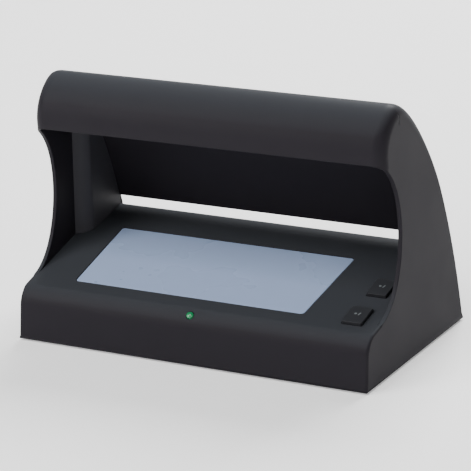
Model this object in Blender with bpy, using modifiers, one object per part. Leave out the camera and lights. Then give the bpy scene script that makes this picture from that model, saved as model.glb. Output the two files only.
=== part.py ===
"""Counter-top counterfeit bill detector: an arch-shaped moulded housing with an opal light
panel in its sloping deck, two ultraviolet lamps in its hood and two push buttons.

Lengths are metres.  The design frame has x = 0 in the middle, y = 0 at the front of the base
and z = 0 at the housing's lower rim; one empty then moves it so that the origin is the centre
of the footprint at table level.
"""
import math

import bmesh
import bpy
from mathutils import Matrix, Vector

# ---- Overall sizes -------------------------------------------------------------------------
BODY_WIDTH = 0.265        # across the front of the base
BODY_DEPTH = 0.1525       # front of the base to the back of the base
BODY_HEIGHT = 0.1794      # lower rim to the crest of the hood
PLAN_FLARE = 0.0515       # how fast each side moves out towards the back
SIDE_DRAFT = 0.019        # how fast each side moves in towards the top
WALL = 0.0030             # moulded wall of the housing
GAP = 0.0003              # between pieces that touch
FOOT_STAND = 0.0014       # height of the rubber feet below the rim

# ---- Side profile --------------------------------------------------------------------------
FRONT_LEAN = 0.0026       # the front wall leans back this far over its height
FRONT_TOP = 0.0243        # top of the front wall, where the lip begins
LIP_RUN = 0.0130          # the lip ends this far back
DECK_FRONT_Z = 0.0347     # the deck's plane, carried on to y = 0
DECK_SLOPE = 0.185        # rise of the deck per unit of depth
LEG_FOOT_Y = 0.0235       # where the legs begin to rise out of the deck
LEG_HOLLOW = 0.0395       # reach of the lower handle of the legs' hollow front edge
LEG_LIFT = 0.0063         # rise of that handle above the deck
LEG_REACH = 0.0387        # reach of its upper handle
LEG_TURN = 0.0203         # drop of its upper handle below the hood's lower edge
HOOD_FRONT_Y = 0.0335     # the hood's front face
HOOD_DROP = 0.0354        # hood's lower edge below the crest
HOOD_BULGE = 0.0038       # the front curve's lower handle in front of the hood's edge
HOOD_RISE = 0.0213        # its height above the hood's edge
CREST_Y = 0.0584          # where the hood is highest
CREST_HANDLE = 0.0080     # reach of the front curve's upper handle
REAR_SHOULDER = 0.0346    # reach of the rear curve's upper handle
REAR_RISE = 0.0928        # length of its lower handle
REAR_LEAN = math.radians(10.0)
DECK_BACK_GAP = 0.0195    # the deck's back edge in front of the base's back
SLOT_HEIGHT = 0.0072      # gap above the deck's back edge
LIP_RISE = 0.0055         # the lip's lower handle above the front wall
LIP_HANDLE = 0.0045       # its upper handle in front of the deck
ROLL_DROP = 0.0045        # how far the deck's back edge rolls down into the slot

# ---- Edge radii ----------------------------------------------------------------------------
EDGE_RADIUS = 0.0020
HOOD_RADIUS = 0.0085
REAR_EDGE_RADIUS = 0.0021
ROUNDING_START = 0.72     # height where the larger radius begins, per height of the hood's edge
WINDOW_CUT = 0.0080       # depth of the cuts through the deck, past its underside
BUTTON_HOLE_ROUND = 0.0012

# ---- Light window --------------------------------------------------------------------------
WINDOW_LEFT_MARGIN = 0.0335
WINDOW_RIGHT_MARGIN = 0.0561
WINDOW_FRONT_Y = 0.0244
WINDOW_DEPTH = 0.0770
WINDOW_ROUND = 0.0025
FLANGE = 0.0040
PANEL_FLANGE_THICK = 0.0020
LIGHT_BOX_DEPTH = 0.0150
LIGHT_BOX_WALL = 0.0016
BOARD_THICK = 0.0016

# ---- Buttons -------------------------------------------------------------------------------
BUTTON_INSET = 0.0193     # centre of the front button from the side of the base
BUTTON_WIDTH = 0.0145
BUTTON_LENGTH = 0.0205
BUTTON_FRONT_Y = 0.0300   # centre of the front button
BUTTON_PITCH = 0.0370     # centre to centre
BUTTON_PROUD = 0.0022
BUTTON_TRAVEL = 0.0018
BUTTON_DEEP = 0.0053      # the cap's lower face below the deck's top
STEM_RADIUS = 0.0020
STEM_LENGTH = 0.0037
SWITCH_SIDE = 0.0084
SWITCH_HEIGHT = 0.0075
PLUNGER_RADIUS = 0.0013
PLUNGER_LENGTH = 0.0040
SPRING_WIRE = 0.0005
SPRING_TURNS = 4

# ---- Indicator -----------------------------------------------------------------------------
LED_RADIUS = 0.0025
LED_Y = 0.0070
LED_TILT = math.radians(38)
LED_LENGTH = 0.0085

# ---- Lamps ---------------------------------------------------------------------------------
TUBE_RADIUS = 0.0079
TUBE_LENGTH = 0.2120      # over the end caps, without pins
CAP_LENGTH = 0.0070
PIN_LENGTH = 0.0065
PIN_RADIUS = 0.0011
PIN_SPREAD = 0.0024
FRONT_TUBE_Y = 0.0485
TUBE_PITCH = 0.0175
TUBE_DROP = 0.0260        # tube axis below the crest
HOLDER_THICK = 0.0085
HOLDER_RISE = 0.0065      # top of the holder above the tube's axis
TRAY_THICK = 0.0020
TRAY_RECESS = 0.0015      # the tray above the hood's lower edge
REFLECTOR_THICK = 0.0006

# ---- Wire ducts, the stepped-in cheeks at the back of the legs -----------------------------
DUCT_ROOM = 0.0123        # depth between the ducts' front and the back wall, at the lamp tray
DUCT_STEP_RUN = 0.0085    # depth of the step from the leg to the duct's face
DUCT_STEP = 0.0095        # how far the step comes in from the leg
DUCT_WALL = 0.0015
SLOT_END_INSET = 0.0150   # the slot's end, in from the side of the body there
LEAD_RADIUS = 0.0011
LEAD_HOLE_RADIUS = 0.0025

# ---- Base --------------------------------------------------------------------------------
PLATE_THICK = 0.0025
FOOT_RADIUS = 0.0075
FOOT_INSET = 0.0150
SCREW_INSET_X = 0.0345
SCREW_FRONT_Y = 0.0160
SCREW_BACK_INSET = 0.0330
BOSS_RADIUS = 0.0040
POST_RADIUS = 0.0023      # the posts that carry the boards
SCREW_RADIUS = 0.0014
SCREW_LENGTH = 0.0110
SCREW_HEAD_RADIUS = 0.0028
INLET_X = 0.0700
INLET_Z = 0.0240
INLET_WIDTH = 0.0240
INLET_HEIGHT = 0.0150
INLET_DEEP = 0.0160

# ---- Power board ---------------------------------------------------------------------------
POWER_BOARD_Z = 0.0085
POWER_BOARD_X = (-0.095, 0.030)
POWER_BOARD_DEPTH = 0.0280
CHOKE_PITCH = 0.0300
CHOKE_WIDTH = 0.0180
CHOKE_HEIGHT = 0.0160
CAPACITOR_RADIUS = 0.0063
CAPACITOR_HEIGHT = 0.0210
FUSE_RADIUS = 0.0026
FUSE_LENGTH = 0.0200

ROUND_STEPS = 24
ROUTE_SPAN = 0.013        # longest stretch between the points that a lead is smoothed through
DECK_ANGLE = math.atan(DECK_SLOPE)
HOOD_EDGE_Z = BODY_HEIGHT - HOOD_DROP
DECK_BACK_Y = BODY_DEPTH - DECK_BACK_GAP
FAR = 0.4                 # past any face of the body


# ---- Geometry of the body ------------------------------------------------------------------
def half_width(y, z):
    """Distance from the middle plane to the outer side of the body."""
    return BODY_WIDTH / 2 + PLAN_FLARE * y - SIDE_DRAFT * z


def deck_z(y):
    return DECK_FRONT_Z + DECK_SLOPE * y


def bezier(p0, p1, p2, p3, count):
    """count + 1 points along a cubic curve."""
    points = []
    for i in range(count + 1):
        t = i / count
        s = 1 - t
        weighted = zip((s ** 3, 3 * s * s * t, 3 * s * t * t, t ** 3), (p0, p1, p2, p3))
        point = sum((Vector(p) * w for w, p in weighted), Vector((0, 0)))
        points.append(tuple(point))
    return points


def lip_curve():
    """Front wall's top over the rounded lip to the deck."""
    top = (FRONT_LEAN, FRONT_TOP)
    end = (LIP_RUN, deck_z(LIP_RUN))
    before_deck = LIP_RUN - LIP_HANDLE
    rise = (FRONT_LEAN * (1 + LIP_RISE / FRONT_TOP), FRONT_TOP + LIP_RISE)
    return bezier(top, rise, (before_deck, deck_z(before_deck)), end, 8)


def leg_curve():
    """The legs' hollow front edge, from the deck up to the hood's lower edge."""
    foot = (LEG_FOOT_Y, deck_z(LEG_FOOT_Y))
    low = (LEG_FOOT_Y + LEG_HOLLOW, deck_z(LEG_FOOT_Y) + LEG_LIFT)
    high = (HOOD_FRONT_Y + LEG_REACH, HOOD_EDGE_Z - LEG_TURN)
    return bezier(foot, low, high, (HOOD_FRONT_Y, HOOD_EDGE_Z), 18)


def hood_curve():
    """Hood's lower front edge up to the crest."""
    edge = (HOOD_FRONT_Y, HOOD_EDGE_Z)
    crest = (CREST_Y, BODY_HEIGHT)
    low = (HOOD_FRONT_Y - HOOD_BULGE, HOOD_EDGE_Z + HOOD_RISE)
    return bezier(edge, low, (CREST_Y - CREST_HANDLE, BODY_HEIGHT), crest, 10)


def rear_curve():
    """Crest down the back to the rim."""
    shoulder = (CREST_Y + REAR_SHOULDER, BODY_HEIGHT)
    low = (BODY_DEPTH - math.sin(REAR_LEAN) * REAR_RISE, math.cos(REAR_LEAN) * REAR_RISE)
    return bezier((CREST_Y, BODY_HEIGHT), shoulder, low, (BODY_DEPTH, 0.0), 22)


def shifted_in(points, distance):
    """A copy of an open outline, moved to the right of its own direction."""
    moved = []
    for i, point in enumerate(points):
        before = Vector(points[max(i - 1, 0)])
        after = Vector(points[min(i + 1, len(points) - 1)])
        along = (after - before).normalized()
        moved.append((point[0] + along.y * distance, point[1] - along.x * distance))
    return moved


def rear_radius(point):
    """Side-edge radius of the back: large at the hood, small from the legs down."""
    start = HOOD_EDGE_Z * ROUNDING_START
    share = (point[1] - start) / (BODY_HEIGHT - start)
    share = min(max(share, 0.0), 1.0)
    blend = share * share * (3 - 2 * share)
    return REAR_EDGE_RADIUS + (HOOD_RADIUS - REAR_EDGE_RADIUS) * blend


# ---- Blender helpers -----------------------------------------------------------------------
def new_collection(name):
    collection = bpy.data.collections.new(name)
    bpy.context.scene.collection.children.link(collection)
    return collection


def add_object(name, mesh, collection, parent=None):
    obj = bpy.data.objects.new(name, mesh)
    collection.objects.link(obj)
    obj.parent = parent
    return obj


def mesh_from(bm, name):
    bmesh.ops.remove_doubles(bm, verts=bm.verts, dist=1e-7)
    bmesh.ops.recalc_face_normals(bm, faces=bm.faces)
    mesh = bpy.data.meshes.new(name)
    bm.to_mesh(mesh)
    bm.free()
    return mesh


def paint(obj, material):
    obj.data.materials.clear()
    obj.data.materials.append(material)


def finish(name, color, roughness, metallic=0.0):
    """A Principled material; color is linear RGB."""
    material = bpy.data.materials.new(name)
    material.use_nodes = True
    shader = material.node_tree.nodes["Principled BSDF"]
    shader.inputs["Base Color"].default_value = (*color, 1.0)
    shader.inputs["Roughness"].default_value = roughness
    shader.inputs["Metallic"].default_value = metallic
    material.diffuse_color = (*color, 1.0)
    return material


def cut(obj, cutter, operation="DIFFERENCE"):
    modifier = obj.modifiers.new(cutter.name, "BOOLEAN")
    modifier.operation = operation
    modifier.solver = "EXACT"
    modifier.object = cutter


def loft(name, outline, inset, collection, parent, steps=5):
    """Body-wide solid between the flared, drafted sides.

    outline holds (y, z, radius): the radius is that of the rounded edge along each side."""
    bm = bmesh.new()
    count = len(outline)
    rings = []
    for side in (-1, 1):
        order = range(steps, -1, -1) if side < 0 else range(steps + 1)
        for k in order:
            turn = math.pi / 2 * k / steps
            ring = []
            for i in range(count):
                y, z, radius = outline[i]
                before = Vector(outline[i - 1][:2])
                after = Vector(outline[(i + 1) % count][:2])
                along = (after - before).normalized()
                fall = radius * (1 - math.cos(turn))
                ry = y + along.y * fall
                rz = z - along.x * fall
                x = half_width(ry, rz) - inset - radius * (1 - math.sin(turn))
                ring.append(bm.verts.new((side * x, ry, rz)))
            rings.append(ring)
    for near, far in zip(rings, rings[1:]):
        for i in range(count):
            j = (i + 1) % count
            bm.faces.new((near[i], near[j], far[j], far[i]))
    bm.faces.new(rings[0])
    bm.faces.new(list(reversed(rings[-1])))
    bmesh.ops.dissolve_degenerate(bm, edges=bm.edges, dist=1e-7)
    mesh = mesh_from(bm, name)
    mesh.shade_smooth()
    mesh.set_sharp_from_angle(angle=math.radians(35))
    return add_object(name, mesh, collection, parent)


def prism_x(name, outline, x_low, x_high, collection, parent):
    """Solid of a (y, z) outline between two values of x."""
    bm = bmesh.new()
    face = bm.faces.new([bm.verts.new((x_low, y, z)) for y, z in outline])
    moved = bmesh.ops.extrude_face_region(bm, geom=[face])
    verts = [v for v in moved["geom"] if isinstance(v, bmesh.types.BMVert)]
    bmesh.ops.translate(bm, verts=verts, vec=(x_high - x_low, 0, 0))
    return add_object(name, mesh_from(bm, name), collection, parent)


def prism_z(name, outline, z_low, z_high, collection, parent, radius=0.0):
    """Solid of an (x, y) outline between two values of z, with its corners rounded."""
    bm = bmesh.new()
    face = bm.faces.new([bm.verts.new((x, y, z_low)) for x, y in outline])
    moved = bmesh.ops.extrude_face_region(bm, geom=[face])
    verts = [v for v in moved["geom"] if isinstance(v, bmesh.types.BMVert)]
    bmesh.ops.translate(bm, verts=verts, vec=(0, 0, z_high - z_low))
    if radius:
        upright = [e for e in bm.edges if abs(e.verts[0].co.z - e.verts[1].co.z) > 1e-6]
        bmesh.ops.bevel(bm, geom=upright, offset=radius, segments=4, profile=0.5, affect="EDGES")
    return add_object(name, mesh_from(bm, name), collection, parent)


def block(name, low, high, collection, parent, radius=0.0):
    """Box between two corners, its long edges rounded if asked."""
    bm = bmesh.new()
    bmesh.ops.create_cube(bm, size=1.0)
    size = [h - l for l, h in zip(low, high)]
    bmesh.ops.scale(bm, verts=bm.verts, vec=size)
    bmesh.ops.translate(bm, verts=bm.verts, vec=[(l + h) / 2 for l, h in zip(low, high)])
    if radius:
        bmesh.ops.bevel(bm, geom=bm.edges[:], offset=radius, segments=2, profile=0.5, affect="EDGES")
    return add_object(name, mesh_from(bm, name), collection, parent)


def turned(name, profile, collection, parent, steps=ROUND_STEPS):
    """Turned solid about z: profile holds (radius, z) down the outer side, axis to axis."""
    mesh = bpy.data.meshes.new(name)
    points = [(r, 0.0, z) for r, z in profile]
    mesh.from_pydata(points, [(i, i + 1) for i in range(len(points) - 1)], [])
    obj = add_object(name, mesh, collection, parent)
    screw = obj.modifiers.new("turned", "SCREW")
    screw.steps = steps
    screw.render_steps = steps
    screw.use_merge_vertices = True
    screw.merge_threshold = 1e-6
    screw.use_smooth_shade = True
    return obj


def rod(name, radius, low, high, collection, parent, steps=ROUND_STEPS):
    """Round bar along z."""
    return turned(name, [(0, high), (radius, high), (radius, low), (0, low)], collection, parent, steps)


def along_x(obj, x, y, z, side=1):
    """Lay a turned piece down so that its own z points along side * x."""
    obj.matrix_local = Matrix.Translation((x, y, z)) @ Matrix.Rotation(side * math.pi / 2, 4, "Y")


def smooth_route(corners, per_span=3):
    """Points on a Catmull-Rom curve through the given ones, whose long spans are split first."""
    points = [Vector(corners[0])]
    for start, end in zip(corners, corners[1:]):
        start, end = Vector(start), Vector(end)
        parts = math.ceil((end - start).length / ROUTE_SPAN)
        points += [start.lerp(end, k / parts) for k in range(1, parts + 1)]
    ends = [points[0], *points, points[-1]]
    route = []
    for a, b, c, d in zip(ends, ends[1:], ends[2:], ends[3:]):
        for i in range(per_span):
            t = i / per_span
            route.append(0.5 * (2 * b + (c - a) * t + (2 * a - 5 * b + 4 * c - d) * t ** 2
                                + (3 * b - a - 3 * c + d) * t ** 3))
    route.append(points[-1])
    return route


def wire(name, route, radius, collection, parent):
    """Round wire along a list of points, with filled caps."""
    curve = bpy.data.curves.new(name, "CURVE")
    curve.dimensions = "3D"
    curve.bevel_depth = radius
    curve.bevel_resolution = 2
    curve.use_fill_caps = True
    spline = curve.splines.new("POLY")
    spline.points.add(len(route) - 1)
    for point, place in zip(spline.points, route):
        point.co = (*place, 1.0)
    return add_object(name, curve, collection, parent)


# ---- Scene ---------------------------------------------------------------------------------
for old in list(bpy.data.objects):
    bpy.data.objects.remove(old, do_unlink=True)

PARTS = new_collection("counterfeit_bill_detector")
CUTTERS = new_collection("cutters")

ORIGIN = bpy.data.objects.new("design_origin", None)
ORIGIN.location = (0, -BODY_DEPTH / 2, FOOT_STAND)
PARTS.objects.link(ORIGIN)

DECK = bpy.data.objects.new("deck_plane", None)
DECK.parent = ORIGIN
DECK.location = (0, 0, DECK_FRONT_Z)
DECK.rotation_euler = (DECK_ANGLE, 0, 0)
PARTS.objects.link(DECK)

BLACK_ABS = finish("black_abs", (0.022, 0.022, 0.025), 0.42)
DARK_ABS = finish("dark_inner_abs", (0.014, 0.013, 0.016), 0.55)
BUTTON_ABS = finish("button_abs", (0.026, 0.026, 0.028), 0.45)
OPAL = finish("opal_acrylic", (0.40, 0.49, 0.58), 0.25)
WHITE_ABS = finish("white_abs", (0.72, 0.73, 0.72), 0.5)
LAMP_GLASS = finish("uv_lamp_glass", (0.10, 0.08, 0.16), 0.12)
ALUMINIUM = finish("aluminium", (0.80, 0.80, 0.80), 0.28, 1.0)
BRIGHT_SHEET = finish("polished_reflector", (0.88, 0.88, 0.88), 0.12, 1.0)
HOLDER_PBT = finish("white_pbt", (0.78, 0.78, 0.75), 0.45)
STEEL = finish("zinc_steel", (0.56, 0.57, 0.58), 0.32, 1.0)
RUBBER = finish("black_rubber", (0.018, 0.018, 0.018), 0.85)
GREEN_LENS = finish("green_led_epoxy", (0.02, 0.30, 0.12), 0.18)
LAMINATE = finish("green_laminate", (0.03, 0.16, 0.07), 0.4)
SWITCH_BLACK = finish("switch_nylon", (0.03, 0.03, 0.03), 0.5)
PLUNGER_WHITE = finish("plunger_acetal", (0.75, 0.75, 0.72), 0.4)
WIRE_WHITE = finish("lead_pvc", (0.65, 0.65, 0.65), 0.5)
FERRITE = finish("ferrite_core", (0.045, 0.045, 0.05), 0.7)
FOIL_SLEEVE = finish("capacitor_sleeve", (0.02, 0.05, 0.12), 0.35)


def cutter(maker, name, *args, parent=ORIGIN, **more):
    """Make a hidden guide solid with one of the shape functions."""
    obj = maker(name, *args, collection=CUTTERS, parent=parent, **more)
    obj.hide_render = True
    obj.display_type = "WIRE"
    return obj


def deck_t(y):
    """Distance along the deck's slope of a point above y."""
    return y / math.cos(DECK_ANGLE)


# ---- Housing -------------------------------------------------------------------------------
def body_outline():
    front = [(0.0, 0.0, 0.0), (FRONT_LEAN * EDGE_RADIUS / FRONT_TOP, EDGE_RADIUS, EDGE_RADIUS)]
    front += [(y, z, EDGE_RADIUS) for y, z in lip_curve()]
    front.append((LEG_FOOT_Y, deck_z(LEG_FOOT_Y), EDGE_RADIUS))
    front.append((HOOD_FRONT_Y, deck_z(LEG_FOOT_Y) + HOOD_RADIUS * 2, HOOD_RADIUS))
    hood = [(y, z, HOOD_RADIUS) for y, z in hood_curve()]
    rear = [(y, z, rear_radius((y, z))) for y, z in rear_curve()[1:-1]]
    return front + hood + rear + [(BODY_DEPTH, 0.0, 0.0)]


def inner_rear(distance, low, high):
    """Inner face of the back wall between two heights, top to bottom."""
    curve = shifted_in(rear_curve(), distance)
    return [point for point in curve if low < point[1] < high]


def bay_outline(shrink):
    """Space over the deck, between the legs and up into the hood."""
    thick = WALL + shrink
    floor = deck_z(LEG_FOOT_Y) + shrink
    back_floor = deck_z(DECK_BACK_Y) + shrink
    over = shifted_in(hood_curve() + rear_curve()[1:], thick)
    over = [p for p in over if p[1] > back_floor + 0.002 and (p[1] > HOOD_EDGE_Z or p[0] > CREST_Y)]
    inner_radius = max(HOOD_RADIUS - thick, EDGE_RADIUS)
    outline = [(LEG_FOOT_Y, floor, 0.0), (-0.02, floor + 0.02, 0.0), (-0.02, HOOD_EDGE_Z, 0.0)]
    outline.append((over[0][0], HOOD_EDGE_Z, inner_radius))
    for y, z in over:
        radius = max(min(rear_radius((y, z)) if y > CREST_Y else HOOD_RADIUS, HOOD_RADIUS) - thick, 0.0)
        outline.append((y, z, radius))
    outline.append((DECK_BACK_Y - shrink * 2, back_floor, 0.0))
    return outline


def inner_heel():
    """Inner face of the back wall at the rim."""
    return BODY_DEPTH - WALL / math.cos(REAR_LEAN)


def base_cavity_outline():
    """Space under the deck, open at the rim."""
    below = 0.01
    front = shifted_in([(-FRONT_LEAN * below / FRONT_TOP, -below)] + lip_curve(), WALL)
    roof = deck_z(0) - WALL / math.cos(DECK_ANGLE)
    back = inner_rear(WALL, 0.002, roof + DECK_SLOPE * DECK_BACK_Y - 0.002)
    outline = [(y, z, 0.0) for y, z in front]
    outline.append((back[0][0] - 0.003, roof + DECK_SLOPE * (back[0][0] - 0.003), 0.0))
    outline += [(y, z, 0.0) for y, z in back]
    outline.append((inner_heel() + math.tan(REAR_LEAN) * below, -below, 0.0))
    return outline


def duct_front_y():
    """Front of the wire ducts, a fixed room in front of the back wall's inner face at the tray."""
    wall = shifted_in(rear_curve(), WALL)
    for (y_high, high), (y_low, low) in zip(wall, wall[1:]):
        if low <= tray_z() <= high:
            return y_low + (y_high - y_low) * (tray_z() - low) / (high - low) - DUCT_ROOM


def slot_half():
    return half_width(DECK_BACK_Y, deck_z(DECK_BACK_Y)) - SLOT_END_INSET


def slot_outline():
    """Bill slot through the back wall, with the deck's back edge rolled over."""
    y, z = DECK_BACK_Y - 0.0005, deck_z(DECK_BACK_Y - 0.0005)
    low = z - ROLL_DROP
    roll = [(y - 0.006, z + 0.003), (y, z), (y + 0.0022, z - 0.0004), (y + 0.0038, z - 0.0018),
            (y + 0.0048, low)]
    return roll + [(FAR, low), (FAR, z + SLOT_HEIGHT), (y - 0.006, z + SLOT_HEIGHT)]


def window_corners(margin=0.0):
    """(x, distance along the deck) of the light window's corners, grown by a margin."""
    left = -BODY_WIDTH / 2 + WINDOW_LEFT_MARGIN
    right = BODY_WIDTH / 2 - WINDOW_RIGHT_MARGIN
    front = WINDOW_FRONT_Y
    back = WINDOW_FRONT_Y + WINDOW_DEPTH
    spread = PLAN_FLARE * WINDOW_DEPTH
    return [(left - margin, deck_t(front) - margin), (right + margin, deck_t(front) - margin),
            (right + spread + margin, deck_t(back) + margin), (left - spread - margin, deck_t(back) + margin)]


def button_centre(index):
    """(x, y) of a button on the deck: 0 is the front one, 1 the rear one."""
    y = BUTTON_FRONT_Y + BUTTON_PITCH * index
    return BODY_WIDTH / 2 - BUTTON_INSET + PLAN_FLARE * (y - BUTTON_FRONT_Y), y


def screw_places():
    """(x, y, height of the deck's underside) of the four base screws."""
    places = []
    for y in (SCREW_FRONT_Y, BODY_DEPTH - SCREW_BACK_INSET):
        x = half_width(y, 0) - SCREW_INSET_X
        roof = deck_z(y) - WALL
        places += [(-x, y, roof), (x, y, roof)]
    return places


def duct_hole_place(side):
    """Where a lamp lead passes up through the deck into its duct."""
    y = DECK_BACK_Y - 0.022
    return side * (half_width(y, deck_z(y)) - WALL - 0.0045), y


def led_matrix():
    lip = lip_curve()
    place = min(lip, key=lambda p: abs(p[0] - LED_Y))
    return Matrix.Translation((0, place[0], place[1])) @ Matrix.Rotation(LED_TILT, 4, "X")


def inlet_matrix():
    """Frame of the inlet: in the back wall's outer face, leaning as the wall does there."""
    wall = rear_curve()
    i = min(range(1, len(wall) - 1), key=lambda k: abs(wall[k][1] - INLET_Z))
    lean = math.atan2(wall[i + 1][0] - wall[i - 1][0], wall[i - 1][1] - wall[i + 1][1])
    return Matrix.Translation((INLET_X, wall[i][0], INLET_Z)) @ Matrix.Rotation(lean, 4, "X")


def board_posts():
    """(x, distance along the deck) of the two posts that carry the switch board."""
    x, y = button_centre(0.5)
    return [(x - 0.0005, deck_t(y) - 0.0015), (x + 0.0005, deck_t(y) + deck_t(BUTTON_PITCH) * 0.5 + 0.0165)]


def make_housing():
    shell = loft("housing_shell", body_outline(), 0.0, PARTS, ORIGIN)
    throat = leg_curve() + [(-0.02, HOOD_EDGE_Z), (-0.02, deck_z(LEG_FOOT_Y) + 0.02)]
    cut(shell, cutter(prism_x, "cut_throat", throat, -FAR, FAR))
    cut(shell, cutter(loft, "cut_bay", bay_outline(0.0), WALL))
    cut(shell, cutter(loft, "cut_base_cavity", base_cavity_outline(), WALL))
    slot = cutter(prism_x, "cut_bill_slot", slot_outline(), -slot_half(), slot_half())
    cut(shell, slot)
    cut(shell, cutter(prism_z, "cut_window", window_corners(), -WINDOW_CUT, 0.02, parent=DECK,
                      radius=WINDOW_ROUND))
    for index, name in enumerate(("cut_front_button", "cut_rear_button")):
        x, y = button_centre(index)
        half_x = BUTTON_WIDTH / 2 + GAP
        half_t = BUTTON_LENGTH / 2 + GAP
        corners = [(x - half_x, deck_t(y) - half_t), (x + half_x, deck_t(y) - half_t),
                   (x + half_x, deck_t(y) + half_t), (x - half_x, deck_t(y) + half_t)]
        cut(shell, cutter(prism_z, name, corners, -WINDOW_CUT, 0.02, parent=DECK, radius=BUTTON_HOLE_ROUND))
    led = cutter(rod, "cut_led", LED_RADIUS + GAP, -0.008, 0.01)
    led.matrix_local = led_matrix()
    cut(shell, led)
    inlet = cutter(block, "cut_inlet", (-INLET_WIDTH / 2 - GAP, -0.012, -INLET_HEIGHT / 2 - GAP),
                   (INLET_WIDTH / 2 + GAP, 0.012, INLET_HEIGHT / 2 + GAP))
    inlet.matrix_local = inlet_matrix()
    cut(shell, inlet)
    for number, (x, y, roof) in enumerate(screw_places(), 1):
        low = PLATE_THICK + 0.0005 + GAP
        boss = cutter(rod, f"add_boss_{number}", BOSS_RADIUS, low, roof + 0.001, steps=16)
        boss.location = (x, y, 0)
        cut(shell, boss, "UNION")
        hole = cutter(rod, f"cut_boss_{number}", SCREW_RADIUS + GAP, -0.01, SCREW_LENGTH + 0.002, steps=12)
        hole.location = (x, y, 0)
        cut(shell, hole)
    board_top = -switch_board_depth()
    for number, (x, t) in enumerate(board_posts(), 1):
        post = cutter(rod, f"add_board_post_{number}", POST_RADIUS, board_top + GAP, -WALL + 0.001,
                      parent=DECK, steps=12)
        post.location = (x, t, 0)
        cut(shell, post, "UNION")
    for side, name in ((-1, "cut_left_lead_hole"), (1, "cut_right_lead_hole")):
        x, y = duct_hole_place(side)
        hole = cutter(rod, name, LEAD_HOLE_RADIUS, deck_z(y) - 0.01, deck_z(y) + 0.006, steps=12)
        hole.location = (x, y, 0)
        cut(shell, hole)
    paint(shell, BLACK_ABS)


def make_bottom_plate():
    low = 0.0005
    top = low + PLATE_THICK
    front = WALL + GAP + FRONT_LEAN * top / FRONT_TOP
    back = inner_heel() - GAP * 1.5 - math.tan(REAR_LEAN) * top
    outline = [(front, low, 0.0), (front, top, 0.0), (back, top, 0.0), (back, low, 0.0)]
    plate = loft("bottom_plate", outline, WALL + GAP, PARTS, ORIGIN)
    for number, (x, y, _) in enumerate(screw_places(), 1):
        hole = cutter(rod, f"cut_plate_{number}", SCREW_RADIUS + GAP, -0.01, 0.02, steps=12)
        hole.location = (x, y, 0)
        cut(plate, hole)
    for number, (x, y) in enumerate(power_posts(), 1):
        post = cutter(rod, f"add_plate_post_{number}", POST_RADIUS, low + 0.001, POWER_BOARD_Z - GAP,
                      steps=12)
        post.location = (x, y, 0)
        cut(plate, post, "UNION")
    paint(plate, BLACK_ABS)


# ---- Hood ----------------------------------------------------------------------------------
def tray_z():
    return HOOD_EDGE_Z + TRAY_RECESS


def tube_places():
    z = BODY_HEIGHT - TUBE_DROP
    return [("front", FRONT_TUBE_Y, z), ("rear", FRONT_TUBE_Y + TUBE_PITCH, z)]


def make_lamp_tray():
    low = tray_z()
    slab = block("lamp_tray", (-FAR, -FAR, low), (FAR, FAR, low + TRAY_THICK), PARTS, ORIGIN)
    cut(slab, cutter(loft, "fit_bay", bay_outline(GAP), WALL + GAP), "INTERSECT")
    half = TUBE_LENGTH / 2 + GAP
    front = FRONT_TUBE_Y - TUBE_RADIUS - 0.0005
    back = FRONT_TUBE_Y + TUBE_PITCH + TUBE_RADIUS + 0.0005
    cut(slab, cutter(block, "cut_tray_window", (-half, front, low - 0.01), (half, back, low + 0.01)))
    for side, name in ((-1, "cut_tray_left_notch"), (1, "cut_tray_right_notch")):
        x = half_width(duct_front_y() + DUCT_STEP_RUN, low) - WALL - 0.0062
        a, b = sorted((side * x, side * FAR))
        notch = cutter(block, name, (a, duct_front_y() + 0.0005, low - 0.01), (b, FAR, low + 0.01))
        cut(slab, notch)
    paint(slab, DARK_ABS)


def make_reflector():
    base = tray_z() + TRAY_THICK + GAP
    top = BODY_HEIGHT - TUBE_DROP + TUBE_RADIUS + 0.0012
    front = FRONT_TUBE_Y - TUBE_RADIUS - 0.0015
    back = FRONT_TUBE_Y + TUBE_PITCH + TUBE_RADIUS + 0.0015
    thick = REFLECTOR_THICK
    outer = [(front - 0.0015, base), (front + 0.002, top), (back - 0.0025, top), (back + 0.0025, base)]
    inner = [(y, z) for y, z in shifted_in(outer, thick)]
    inner[0] = (outer[0][0] + thick, base)
    inner[-1] = (outer[-1][0] - thick, base)
    half = TUBE_LENGTH / 2 - GAP
    sheet = prism_x("hood_reflector", outer + inner[::-1], -half, half, PARTS, ORIGIN)
    paint(sheet, BRIGHT_SHEET)


def make_lamps():
    glass_half = TUBE_LENGTH / 2 - CAP_LENGTH - GAP
    for which, y, z in tube_places():
        r = TUBE_RADIUS - 0.0003
        profile = [(0, glass_half), (r * 0.9, glass_half), (r, glass_half - 0.002), (r, -glass_half + 0.002),
                   (r * 0.9, -glass_half), (0, -glass_half)]
        tube = turned(f"uv_tube_{which}", profile, PARTS, ORIGIN)
        along_x(tube, 0, y, z)
        paint(tube, LAMP_GLASS)
        for side, name in ((-1, "left"), (1, "right")):
            make_lamp_end(f"{which}_{name}", side, y, z)


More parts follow.
